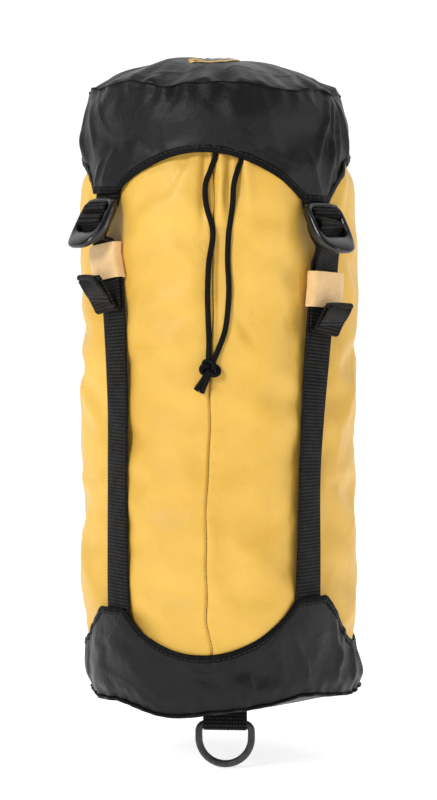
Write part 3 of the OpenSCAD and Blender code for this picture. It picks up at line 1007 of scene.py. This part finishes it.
def skin_grid(edge, radius, far, rows, cols=SKIN_COLS, cloth=None):
    """A grid from a scalloped edge (row 0) to the height far, with its simulated wrinkles if given"""
    phi = np.linspace(0, TAU, cols, endpoint=False)
    share = np.linspace(0, 1, rows)[:, None]
    start = edge(phi)[None, :]
    stop = far(phi)[None, :]
    z = start + (stop - start) * share
    pp = np.broadcast_to(phi, z.shape)
    r = radius(pp, z)
    if cloth is not None:
        r = r + sampled(cloth, share * (len(cloth) - 1) + 0 * pp, pp / TAU * cloth.shape[1])
    within = body_surface(pp, z) + 0.8 - 7 * (1 - smooth_step(z, 12, 26)) - 9 * smooth_step(z, 294, 306)
    r = -soft_min(-r, -within, 2.2)
    return around(pp, r, z), np.stack([pp * SACK_R, z], -1)


def roomy_skin(edge, radius, far, rows):
    """A black skin simulated as cloth, held along both edges and round the scalloped edge's points"""
    grid, uv = skin_grid(edge, radius, far, rows, TRIAL_COLS)
    share = np.linspace(0, 1, rows)[:, None]
    held = (near_corner(uv[..., 0] / SACK_R, 14) > 0.5) & (share < 0.35)
    held = held | (share < 0.03) | (share > 0.97)
    return eased(grid, held, ease=0.014, pressure=1.5, limit=1.2)


def edge_frame(grid):
    """Unit vectors into the cloth and out of the sack at a grid's first row"""
    line = grid[0]
    along = unit(np.roll(line, -1, axis=0) - np.roll(line, 1, axis=0))
    out = unit(line * np.array([1, 1, 0]))
    inward = unit(np.cross(along, out))
    toward = grid[3] - line
    flip = np.sign((inward * toward).sum(axis=1, keepdims=True))
    return inward * flip, out


def edge_tape(name, grid, body, node, phase):
    """Binding tape folded over a scalloped edge, with the row of stitches that holds it"""
    inward, out = edge_frame(grid)
    line = grid[0]
    ripple = 0.12 * np.sin(np.arange(len(line)) * 0.9 + phase)[:, None]
    width, thick = TAPE_WIDTH, TAPE_THICK
    profile = [
        (width, 0.15), (width - 0.3, thick), (width * 0.5, thick * 1.05), (0.6, thick),
        (-0.5, thick * 0.55), (-0.9, -0.3), (-0.5, -0.9), (0.6, -1.3), (width, -1.3), (width, -0.7),
    ]
    rings = np.stack([line + inward * s + out * (h + ripple * (h > 0)) for s, h in profile])
    points, faces = closed_loft(rings)
    uv = np.stack([np.tile(run_of(line), len(profile)), np.repeat(np.arange(len(profile)), len(line))], -1)
    tape = make_mesh(name, points, faces, TAPE, uv)
    stands_for(tape, body, "binding_tape", node)
    ring = line + inward * width * 0.62 + out * (thick + 0.1)
    closed = np.vstack([ring, ring[:1]])
    normals = np.vstack([out, out[:1]])
    points, faces = joined(row_of_stitches(closed, normals, pitch=2.9, length=2.0, radius=0.24))
    sewn = make_mesh(name + "_stitches", points, faces, BLACK_THREAD)
    stands_for(sewn, body, "binding_tape")


def cup_foot(phi):
    return 2.2 + foot_lift(phi)


def build_cup():
    """The base cup and its binding; returns the cup's lower rim"""
    cloth = roomy_skin(cup_edge, cup_radius, cup_foot, rows=22)
    grid, uv = skin_grid(cup_edge, cup_radius, cup_foot, rows=52, cloth=cloth)
    grid = grid[::-1]
    cup = cloth_shell("base_cup_skin", grid, SHELL, SKIN_THICK, uv[::-1])
    stands_for(cup, "sack", "shell_fabric", "base_cup")
    edge_tape("cup_edge_tape", grid[::-1], "sack", "base_cup_binding", phase=0.3)
    return grid[0]


# (radius, height) from the bottom seam over the flat ring to the middle of the recess
BOTTOM_PROFILE = (
    (75.4, 1.2), (74.6, 0.5), (72, 0.2), (66, 0.1), (60, 0.15), (55, 0.2), (52, 0.7),
    (50.4, 1.8), (48, 2.5), (40, 2.7), (30, 2.8), (20, 2.8), (10, 2.8), (3, 2.8), (0.4, 2.8),
)


def build_bottom(rim):
    """The bottom panel: a flat ring, a recess, and the puckered seam where it meets the cup"""
    phi = np.linspace(0, TAU, SKIN_COLS, endpoint=False)
    rows = [rim * np.array([0.999, 0.999, 1]) - np.array([0, 0, 0.25])]
    for r, z in BOTTOM_PROFILE:
        wrinkle = 0.25 * waves(phi, r, 41, 30) * min(1, r / 20) * (1 if z > 0.6 else 0.35)
        gather = 0.25 * ripples(phi, 42, 9) if r > 74 else 0
        lift = foot_lift(phi) * smooth_step(r, 50, 75)
        inside = np.minimum(r + gather, np.hypot(rim[:, 0], rim[:, 1]) + 0.3)
        rows.append(around(phi, inside, np.maximum(z + wrinkle, 0.02) + lift))
    grid = np.array(rows)
    uv = grid[..., :2].copy()
    panel = cloth_shell("bottom_skin", grid, SHELL, -SKIN_THICK, uv)
    stands_for(panel, "sack", "shell_fabric", "bottom_panel")
    line = np.vstack([rim, rim[:1]]) * np.array([1.004, 1.004, 1]) - np.array([0, 0, 0.4])
    run = np.arange(len(line))[:, None]
    line = line + np.array([0, 0, 0.25]) * np.sin(run * 0.37) * np.sin(run * 0.061)
    points, faces = tube(line, 0.75, 8, (0, 0, 1))
    cordline = make_mesh("bottom_seam", points, faces, TAPE, points[:, :2])
    stands_for(cordline, "sack", "binding_tape", "base_seam")


def lid_grid():
    """The domed lid from its puckered seam (row 0) to its middle"""
    phi = np.linspace(0, TAU, SKIN_COLS, endpoint=False)
    edge_z = seam_z(phi)
    edge_r = cap_radius(phi, edge_z)
    base_z = SEAM_Z - LID_DROP
    rise = LID_TOP - SEAM_Z - LID_DROP
    rows = []
    for share in np.linspace(0, 1, 56) ** 1.1:
        r = edge_r * (1 - share) + 0.35 * share
        z = edge_z * (1 - share) + base_z * share + rise * (1 - (1 - share) ** 2.8)
        gather = math.exp(-((share / 0.11) ** 2)) * smooth_step(share, 0, 0.025)
        z = z + 1.2 * gather * ripples(phi, 35, 17)
        calm = smooth_step(np.hypot(r * np.sin(phi), r * np.cos(phi) - 32), 13, 26)
        fade = smooth_step(1 - share, 0.02, 0.3) * (0.12 + 0.88 * calm)
        z = z + fade * 0.4 * waves(phi, r * 0.6, 36, 60)
        z = z + fade * 0.5 * creases(phi, r, 37, 42) * smooth_step(share, 0.0, 0.1) * smooth_step(r, 30, 60)
        r = r + 0.9 * math.exp(-(((share - 0.03) / 0.03) ** 2)) * (0.6 + 0.4 * ripples(phi, 38, 14))
        rows.append(around(phi, r, z))
    return np.array(rows)


def build_cap():
    """The cap's side band, its binding, the domed lid and the seam between them; returns the lid's grid"""
    cloth = roomy_skin(cap_edge, cap_radius, seam_z, rows=26)
    grid, uv = skin_grid(cap_edge, cap_radius, seam_z, rows=60, cloth=cloth)
    band = cloth_shell("cap_band_skin", grid, SHELL, SKIN_THICK, uv)
    stands_for(band, "cap", "shell_fabric", "cap_band")
    edge_tape("cap_edge_tape", grid, "cap", "cap_binding", phase=1.1)
    lid = lid_grid()
    skin = cloth_shell("lid_skin", lid, SHELL, SKIN_THICK, lid[..., :2].copy())
    stands_for(skin, "cap", "shell_fabric", "lid_panel")
    seam = (grid[-1] + lid[0]) / 2
    seam = np.vstack([seam, seam[:1]])
    inward = unit(seam * np.array([1, 1, 0]))
    points, faces = tube(seam - 0.3 * inward, 0.7, 8, (0, 0, 1))
    ridge = make_mesh("lid_seam", points, faces, TAPE, points[:, :2])
    stands_for(ridge, "cap", "binding_tape", "lid_seam_tape")
    return lid


def build_emblem(lid):
    """A plain printed ring that lies on the lid's cloth"""
    low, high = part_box("emblem")
    centre = np.array([low[0] + high[0], low[1] + high[1]]) / 2 / MM
    outer = (high[0] - low[0]) / 2 / MM
    radii = np.linspace(outer - 3, outer, 7)
    a = np.linspace(0, TAU, 160, endpoint=False)
    x = centre[0] + radii[:, None] * np.cos(a)
    y = centre[1] + radii[:, None] * np.sin(a)
    phi = np.arctan2(x, -y) % TAU
    r = np.hypot(x, y)
    radius_rows = np.hypot(lid[..., 0], lid[..., 1]).mean(axis=1)
    row = np.interp(r, radius_rows[::-1], np.arange(len(radius_rows))[::-1])
    col = phi / TAU * SKIN_COLS
    grid = np.stack([x, y, sampled(lid[..., 2], row, col) + 0.4], -1)
    piece = cloth_shell("emblem_print", grid, INK, 0.12, grid[..., :2].copy())
    stands_for(piece, "cap", "print", "emblem")


rim = build_cup()
build_bottom(rim)
lid = build_cap()
build_emblem(lid)


# ---- Straps, locks and keepers at each corner ----

# Sideways wander of each strap away from the front or the back: (height, millimetres)
DRIFT = {
    "front_left": [
        (20, -7.7), (137, -7.7), (195, -8.0), (205, -7.4), (221, -5.0), (232, -3.2), (246, 1.0), (257, 0),
        (264, 0),
    ],
    "front_right": [
        (20, -5.0), (60, -4.9), (137, -3.8), (200, 1.6), (214, 3.8), (228, 6.2), (238, 6.6), (257, 0),
        (264, 0),
    ],
    "rear_right": [(20, -4.0), (60, -4.0), (137, -3.6), (215, 1.2), (240, 1.8), (264, 0)],
    "rear_left": [(20, -4.6), (60, -4.6), (137, -3.0), (215, 1.0), (240, 2.0), (264, 0)],
}
# Turn of each standing strap about its own length at mid height: it lifts the front edge of a front
# strap and the rear edge of a rear one off the sack
TWIST = {"front_left": -0.10, "front_right": 0.18, "rear_right": -0.12, "rear_left": 0.14}
LINE_STEP = 0.3  # between the points of a webbing's line
FLAP_LEAN = math.tan(math.radians(25))  # of the turned-up strap ends


def corner_axes(corner):
    """Unit vectors out of the sack and across the strap at a corner"""
    phi = CORNER_PHI[corner]
    out = np.array([math.sin(phi), -math.cos(phi), 0])
    across = np.array([math.cos(phi), math.sin(phi), 0])
    return out, across


def drift_at(corner, z):
    """At a height, the sideways wander along the across direction, and how far the sack falls away"""
    away = np.interp(z, *zip(*DRIFT[corner]))
    aside = away if corner in ("front_right", "rear_left") else -away
    return aside, PIVOT_R - math.sqrt(PIVOT_R**2 - aside**2)


def at_corner(corner, route):
    """Points from (radius, z) pairs in a corner's own upright plane, moved aside by its wander"""
    out, across = corner_axes(corner)
    points = []
    for r, z in route:
        aside, sag = drift_at(corner, z)
        points.append((r - sag) * out + np.array([0, 0, z]) + aside * across)
    return np.array(points)


def in_lock(corner, *places):
    """(radius, z) of places on the tilted lock: (down from its top bar, front of its middle)"""
    sin, cos, top = math.sin(LOCK_TILT), math.cos(LOCK_TILT), pivot[corner][2]
    return [(PIVOT_R + down * sin + front * cos, top - down * cos + front * sin) for down, front in places]


def blend_into_lock(piece):
    """Bakes the placement of cloth that turns from the cap to the lock into its mesh"""
    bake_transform(piece)


def strap_piece(name, route, corner, node, **sizes):
    """A length of webbing through (radius, z) pairs at a corner, in place of a CAD node"""
    _, across = corner_axes(corner)
    line = curve_through(at_corner(corner, route), LINE_STEP)
    points, faces, uv = webbing(line, across, **sizes)
    piece = make_mesh(name, points, faces, WEB, uv)
    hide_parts(f"{node}_{corner}")
    return piece


def build_strap(corner):
    """The standing strap from under the cup's point up to the keeper"""
    low = KEEPER_Z[corner][0]
    route = [
        (74.2, 30), (74.3, 46), (74.9, 60), (75.3, 90), (75.4, 130), (75.4, 170),
        (75.4, low - 6), (75.2, low + 4), (75.3, low + 14),
    ]
    turn = TWIST[corner]
    piece = strap_piece(
        f"strap_{corner}_web", route, corner, "strap",
        bow=-0.45, twist=lambda share: turn * math.sin(math.pi * min(1, 1.05 * share)) ** 2,
    )
    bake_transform(piece)


def build_lock_webbing(corner):
    """The strap from the keeper up behind the lock, forward over its middle bar, and back down"""
    low, top = KEEPER_Z[corner]
    gap = pivot[corner][2] - 18 - top
    over_bar = in_lock(
        corner,
        (18, -5.6), (13, -4.7), (9.0, -4.0), (7.3, -2.8), (7.9, -0.4), (9.0, 1.7), (10.4, 2.9), (12, 3.2),
        (13.7, 2.5), (14.4, 0.8), (15.6, -1.6), (18.6, -3.8),
    )
    route = [(75.3, low + 13), (75.4, top - 1), (75.9, top + 0.35 * gap), *over_bar,
             (77.7 + 0.12 * gap, top + 0.45 * gap), (77.0, top - 0.5), (76.9, low + 12)]
    piece = strap_piece(
        f"lock_webbing_{corner}", route, corner, "strap_wrap",
        bow=0.12, thick=1.1, width=STRAP_W - 0.4,
    )
    blend_into_lock(piece)


def build_tail(corner):
    """The tail between the keeper and its folded end"""
    low, high = KEEPER_Z[corner]
    fold_z = FOLD_Z[corner]
    route = [(77.0, high - 2), (77.0, low + 6), (77.2, low - 2), (77.5, fold_z + 4), (77.6, fold_z + 1.5)]
    piece = strap_piece(f"tail_{corner}_web", route, corner, "strap_tail", bow=-0.2)
    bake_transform(piece)


def build_fold(corner):
    """The tail's sewn end: bent up, doubled over, rolled at its top and stitched"""
    fold_z = FOLD_Z[corner]
    rise = box_z(f"strap_end_{corner}")[1] - fold_z
    tip = fold_z + rise
    out, across = corner_axes(corner)
    base = [
        (77.6, fold_z + 5), (77.7, fold_z + 1), (78.6, fold_z - 1.7), (80.4, fold_z - 1.6),
        (81.6, fold_z + 0.8),
    ]
    flap = [(81.8 + FLAP_LEAN * 0.5 * rise, fold_z + 0.55 * rise), (81.9 + FLAP_LEAN * rise, tip - 0.5)]
    line = curve_through(at_corner(corner, base + flap), LINE_STEP)
    bend, bend_faces, bend_uv = webbing(line, across, width=STRAP_W - 0.6, thick=1.4, rib=0.14, bow=0.2)
    pad_route = [
        (81.2, fold_z + 1.2), (83.3 + FLAP_LEAN * 0.45 * rise, fold_z + 0.5 * rise),
        (83.2 + FLAP_LEAN * rise, tip - 0.8),
    ]
    pad_line = curve_through(at_corner(corner, pad_route), LINE_STEP)
    pad, pad_faces, pad_uv = webbing(pad_line, across, width=STRAP_W - 1.4, thick=1.7, rib=0.0, bow=0.5)
    middle = at_corner(corner, [(82.7 + FLAP_LEAN * rise, tip - 0.4)])[0]
    top_line = middle + np.outer(np.linspace(-9.6, 9.6, 40), across)
    top_line = top_line + np.outer(0.25 * np.sin(np.linspace(0, 5, 40)), [0, 0, 1])
    roll, roll_faces = tube(top_line, 1.7, 14, (0, 0, 1), round_ends=True)
    points, faces = joined([(bend, bend_faces), (pad, pad_faces), (roll, roll_faces)])
    uv = np.concatenate([bend_uv, pad_uv * [1, 0.12], np.tile([0.7, 0.5], (len(roll), 1))])
    piece = make_mesh(f"strap_end_{corner}_web", points, faces, WEB, uv)
    stands_for(piece, f"end_{corner}", "webbing", f"strap_end_{corner}")
    stitches = []
    for share in (0.16, 0.30):
        middle = at_corner(corner, [(83.9 + FLAP_LEAN * share * rise, fold_z + share * rise + 0.6)])[0]
        row = middle + np.outer(np.linspace(-8.4, 8.4, 30), across)
        stitches += row_of_stitches(row, np.tile(out, (30, 1)), pitch=2.6, length=1.9, radius=0.2)
    points, faces = joined(stitches)
    sewn = make_mesh(f"strap_end_{corner}_stitches", points, faces, GREY_THREAD)
    stands_for(sewn, f"end_{corner}", "webbing")


def build_tab(corner):
    """The webbing loop from under the cap's point, behind the lock's top bar and round its first one"""
    z = pivot[corner][2]
    round_bar = in_lock(
        corner,
        (0, -3.7), (2, -2.9), (4.8, -1.8), (6.5, -0.6), (6.9, 1.0), (6.2, 2.6), (4.7, 3.1),
        (3.2, 2.5), (2.6, 0.9), (1.6, -1.4), (0, -2.5),
    )
    route = [(72.6, z + 15), (73.0, z + 9), (74.0, z + 4), *round_bar,
             (75.4, z + 4), (74.3, z + 9), (73.9, z + 15)]
    piece = strap_piece(
        f"buckle_tab_{corner}_web", route, corner, "buckle_tab",
        bow=0.1, thick=1.1, rib=0.16, width=STRAP_W - 0.4,
    )
    blend_into_lock(piece)


def build_keeper(corner):
    """A closed loop of tan elastic round the strap and its tail"""
    out, across = corner_axes(corner)
    low, high = KEEPER_Z[corner]
    mid_r, half_w, half_t, corner_power = 76.5, 11.0, 2.9, 0.34
    a = np.linspace(0, TAU, 120, endpoint=False)
    x = half_w * power_of(np.cos(a), corner_power)
    y = half_t * power_of(np.sin(a), corner_power)
    y = y - 0.4 * (x / half_w) ** 2 + 0.3
    rows = []
    tip = 0.13 if corner in ("front_left", "rear_right") else -0.06
    for z in np.linspace(low, high, 26):
        aside, sag = drift_at(corner, z)
        bulge = 0.25 * math.sin(math.pi * (z - low) / (high - low))
        rows.append(
            np.outer(x + aside, across) + np.outer(mid_r - sag + y * (1 + bulge * 0.3), out)
            + np.outer(np.full_like(x, z) + tip * x, [0, 0, 1])
        )
    grid = np.array(rows)
    uv = np.stack(np.meshgrid(np.linspace(0, 58, len(a)), np.linspace(0, high - low, 26)), -1)
    piece = cloth_shell(f"keeper_{corner}_band", grid, ELASTIC, 0.8, uv)
    bevel = piece.modifiers.new("bevel", "BEVEL")
    bevel.width = 0.25 * MM
    bevel.segments = 2
    bevel.limit_method = "ANGLE"
    bevel.angle_limit = math.radians(50)
    stands_for(piece, f"keep_{corner}", "elastic", f"keeper_{corner}")


def lock_loops(count):
    """Outer and inner loops of the lock's frame, as (across, down) pairs"""
    a = np.linspace(0, TAU, count, endpoint=False)
    cos, sin = np.cos(a), np.sin(a)
    low = sin > 0
    outer_x = 13.6 * power_of(cos, np.where(low, 0.66, 0.42))
    outer_s = 11.5 + np.where(low, 18.5 * np.abs(sin) ** 0.85, -13.7 * np.abs(sin) ** 0.6)
    inner_x = 10.1 * power_of(cos, 0.34)
    inner_s = 10.5 + np.where(low, 8.2 * np.abs(sin) ** 0.36, -9.4 * np.abs(sin) ** 0.4)
    return np.stack([outer_x, outer_s], -1), np.stack([inner_x, inner_s], -1)


def build_lock(corner):
    """A moulded ladder lock: rounded rails that flow into a curled thumb lip, and three cross bars"""
    out, across = corner_axes(corner)
    up = np.array([0, 0, 1])
    front = out * math.cos(LOCK_TILT) + up * math.sin(LOCK_TILT)
    down = out * math.sin(LOCK_TILT) - up * math.cos(LOCK_TILT)
    origin = pivot[corner]

    def place(x, s, t):
        x, s, t = np.broadcast_arrays(x, s, t)
        return origin + x[..., None] * across + s[..., None] * down + t[..., None] * front

    outer, inner = lock_loops(168)
    rows = []
    for k in np.linspace(0, TAU, 28, endpoint=False):
        share = 0.5 + 0.5 * power_of(math.cos(k), 0.75)
        pair = inner * (1 - share) + outer * share
        s = pair[:, 1]
        thick = 2.7 - 1.0 * smooth_step(s, 18, 30) - 0.9 * (1 - smooth_step(s, -3, 4))
        curl = 3.0 * smooth_step(s, 18, 32) ** 1.3
        dome = 0.8 * smooth_step(s, 20, 25) * np.cos(np.clip(pair[:, 0] / 14, -1, 1) * math.pi / 2)
        sweep = -0.3 * smooth_step(s, -8, 3) * (1 - smooth_step(s, 15, 22))
        rows.append(place(pair[:, 0], s, power_of(math.sin(k), 0.75) * (thick + dome) + curl + sweep))
    parts = [closed_loft(np.array(rows))]
    bar = np.linspace(-11.6, 11.6, 16)
    for s, radius, lift in ((0.0, 1.5, 0.0), (4.7, 1.3, 0.7), (12.0, 1.5, 0.7)):
        parts.append(tube(place(bar, s, lift), radius, 14, down))
    points, faces = joined(parts)
    piece = make_mesh(f"lock_{corner}_moulding", points, faces, PLASTIC)
    stands_for(piece, f"lock_{corner}", "lock_plastic", f"ladder_lock_{corner}")


for corner in CORNERS:
    build_strap(corner)
    build_lock_webbing(corner)
    build_tail(corner)
    build_fold(corner)
    build_tab(corner)
    build_keeper(corner)
    build_lock(corner)


# ---- D-ring under the base ----


def build_ring():
    """The D-ring: a straight top, round corners and a half circle below"""
    half, side, wire = 14.5, 7.8, 2.0
    corner_r = 4.0
    path = []
    for a in np.linspace(math.pi / 2, math.pi, 7):
        path.append((-half + corner_r + corner_r * math.cos(a), -corner_r + corner_r * math.sin(a)))
    for a in np.linspace(math.pi, TAU, 40):
        path.append((half * math.cos(a), -side + half * math.sin(a)))
    for a in np.linspace(0, math.pi / 2, 7):
        path.append((half - corner_r + corner_r * math.cos(a), -corner_r + corner_r * math.sin(a)))
    path.append((0, 0))
    loop = np.array([[x, 0, z] for x, z in path]) + RING_PIVOT
    closed = spaced(np.vstack([loop, loop[:1]]), 0.9)[:-1]
    heading = unit(np.roll(closed, -1, axis=0) - np.roll(closed, 1, axis=0))
    out = np.cross(heading, np.array([0, 1, 0]))
    rows = np.array([closed + out * a + np.array([0, 1, 0]) * b for a, b in circle(wire, 20)])
    points, faces = closed_loft(rows)
    piece = make_mesh("d_ring_wire", points, faces, RING)
    stands_for(piece, "ring", "ring_coating", "d_ring")


def build_ring_tab():
    """The webbing loop that holds the D-ring, and the cross strip that it is sewn to"""
    x, y, z = RING_PIVOT
    route = [
        (y + 1.4, 1.2), (y + 1.6, -4), (y + 2.5, z + 2.2), (y + 2.8, z), (y + 2.0, z - 2.1), (y, z - 2.9),
        (y - 2.0, z - 2.1), (y - 2.8, z), (y - 2.5, z + 2.2), (y - 1.2, -4), (y - 1.0, 1.2),
    ]
    line = curve_through([(x, b, c) for b, c in route], LINE_STEP)
    points, faces, uv = webbing(line, np.array([1.0, 0, 0]), width=24, thick=1.2, bow=0.0, rib=0.12)
    tab = make_mesh("ring_tab_web", points, faces, WEB, uv)
    stands_for(tab, "sack", "webbing", "ring_tab")
    strip = curve_through([(x - 24, y, 0.9), (x, y, 1.0), (x + 24, y, 0.9)], LINE_STEP)
    points, faces, uv = webbing(strip, np.array([0, 1.0, 0]), width=22, thick=1.1, bow=0.0, rib=0.12)
    patch = make_mesh("ring_patch_web", points, faces, WEB, uv)
    stands_for(patch, "sack", "webbing", "ring_patch")


build_ring()
build_ring_tab()


# ---- Hem, hidden cord and cord lock: the hem is gathered cloth, the rest is the CAD's own ----

HEM_R, HEM_TUBE_R, HEM_PLEATS = 18, 3.7, 26


def build_hem():
    """The gathered hem that the drawcord runs in, under the lid"""
    low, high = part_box("hem_channel")
    mid_z = (low[2] + high[2]) / 2 / MM
    phi = np.linspace(0, TAU, 360, endpoint=False)
    ring = np.linspace(0, TAU, 20, endpoint=False)
    rows = []
    pleat = 1 + 0.14 * np.cos(HEM_PLEATS * phi + 2.2 * np.sin(5 * phi))
    for k in ring:
        r = HEM_R + HEM_TUBE_R * math.cos(k) * pleat
        z = mid_z + HEM_TUBE_R * math.sin(k) * pleat
        rows.append(around(phi, r, z))
    uv = np.stack(np.meshgrid(phi * HEM_R, ring * 4), -1).reshape(-1, 2)
    points, faces = closed_loft(np.array(rows)[::-1])
    piece = make_mesh("gathered_hem", points, faces, NYLON, uv)
    stands_for(piece, "mouth", "sack_fabric", "hem_channel")


def paint(node, material):
    """Gives a CAD node a material; its shape stays as it is"""
    mesh = frame["nodes"][node].data
    mesh.materials.clear()
    mesh.materials.append(material)


build_hem()
paint("drawcord_loop", CORD)
paint("cord_lock_barrel", PLASTIC)
paint("cord_lock_plunger", PLASTIC)
paint("cord_lock_spring", SPRING)


# ---- Floor, light and background ----


def add_area(name, location, target, size, power):
    """A rectangular lamp that faces a point"""
    data = bpy.data.lights.new(name, "AREA")
    data.shape = "RECTANGLE"
    data.size, data.size_y = size
    data.energy = power
    lamp = bpy.data.objects.new(name, data)
    lamp.location = location
    lamp.rotation_euler = (Vector(target) - Vector(location)).to_track_quat("-Z", "Y").to_euler()
    bpy.context.scene.collection.objects.link(lamp)


def add_studio():
    """The pale floor, the sky behind it and three soft lamps"""
    floor_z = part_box("d_ring")[0][2] - 0.001
    side = 40
    corners = [(-side, -side, floor_z), (side, -side, floor_z), (side, side, floor_z), (-side, side, floor_z)]
    mesh = bpy.data.meshes.new("floor")
    mesh.from_pydata(corners, [], [(0, 1, 2, 3)])
    material, tree, shader = new_material("pale_floor")
    shader.inputs["Base Color"].default_value = (0.82, 0.82, 0.82, 1)
    shader.inputs["Roughness"].default_value = 0.8
    shader.inputs["Specular IOR Level"].default_value = 0.0
    shader.inputs["Emission Color"].default_value = (1, 1, 1, 1)
    shader.inputs["Emission Strength"].default_value = 0.72
    mesh.materials.append(material)
    floor = bpy.data.objects.new("floor", mesh)
    bpy.context.scene.collection.objects.link(floor)
    world = bpy.data.worlds.new("studio")
    world.use_nodes = True
    tree = world.node_tree
    place = add(tree, "ShaderNodeTexCoord")
    split = add(tree, "ShaderNodeSeparateXYZ")
    tree.links.new(place.outputs["Generated"], split.inputs["Vector"])
    sky = tree.nodes["Background"]
    sky.inputs["Color"].default_value = (1, 1, 1, 1)
    tree.links.new(ranged(tree, split.outputs["Y"], 0.20, 1.12, -0.2, 0.75), sky.inputs["Strength"])
    bpy.context.scene.world = world
    centre = (0, 0, 0.17)
    add_area("key", (-0.9, -1.5, 1.0), centre, size=(0.5, 0.5), power=21)
    add_area("side", (1.6, -0.5, 0.5), centre, size=(0.25, 1.0), power=5)
    add_area("overhead", (0, 0.3, 2.6), (0, 0.3, 0), size=(3.5, 3.5), power=12)
    bpy.context.scene.view_settings.view_transform = "Standard"


add_studio()
bpy.context.view_layer.update()
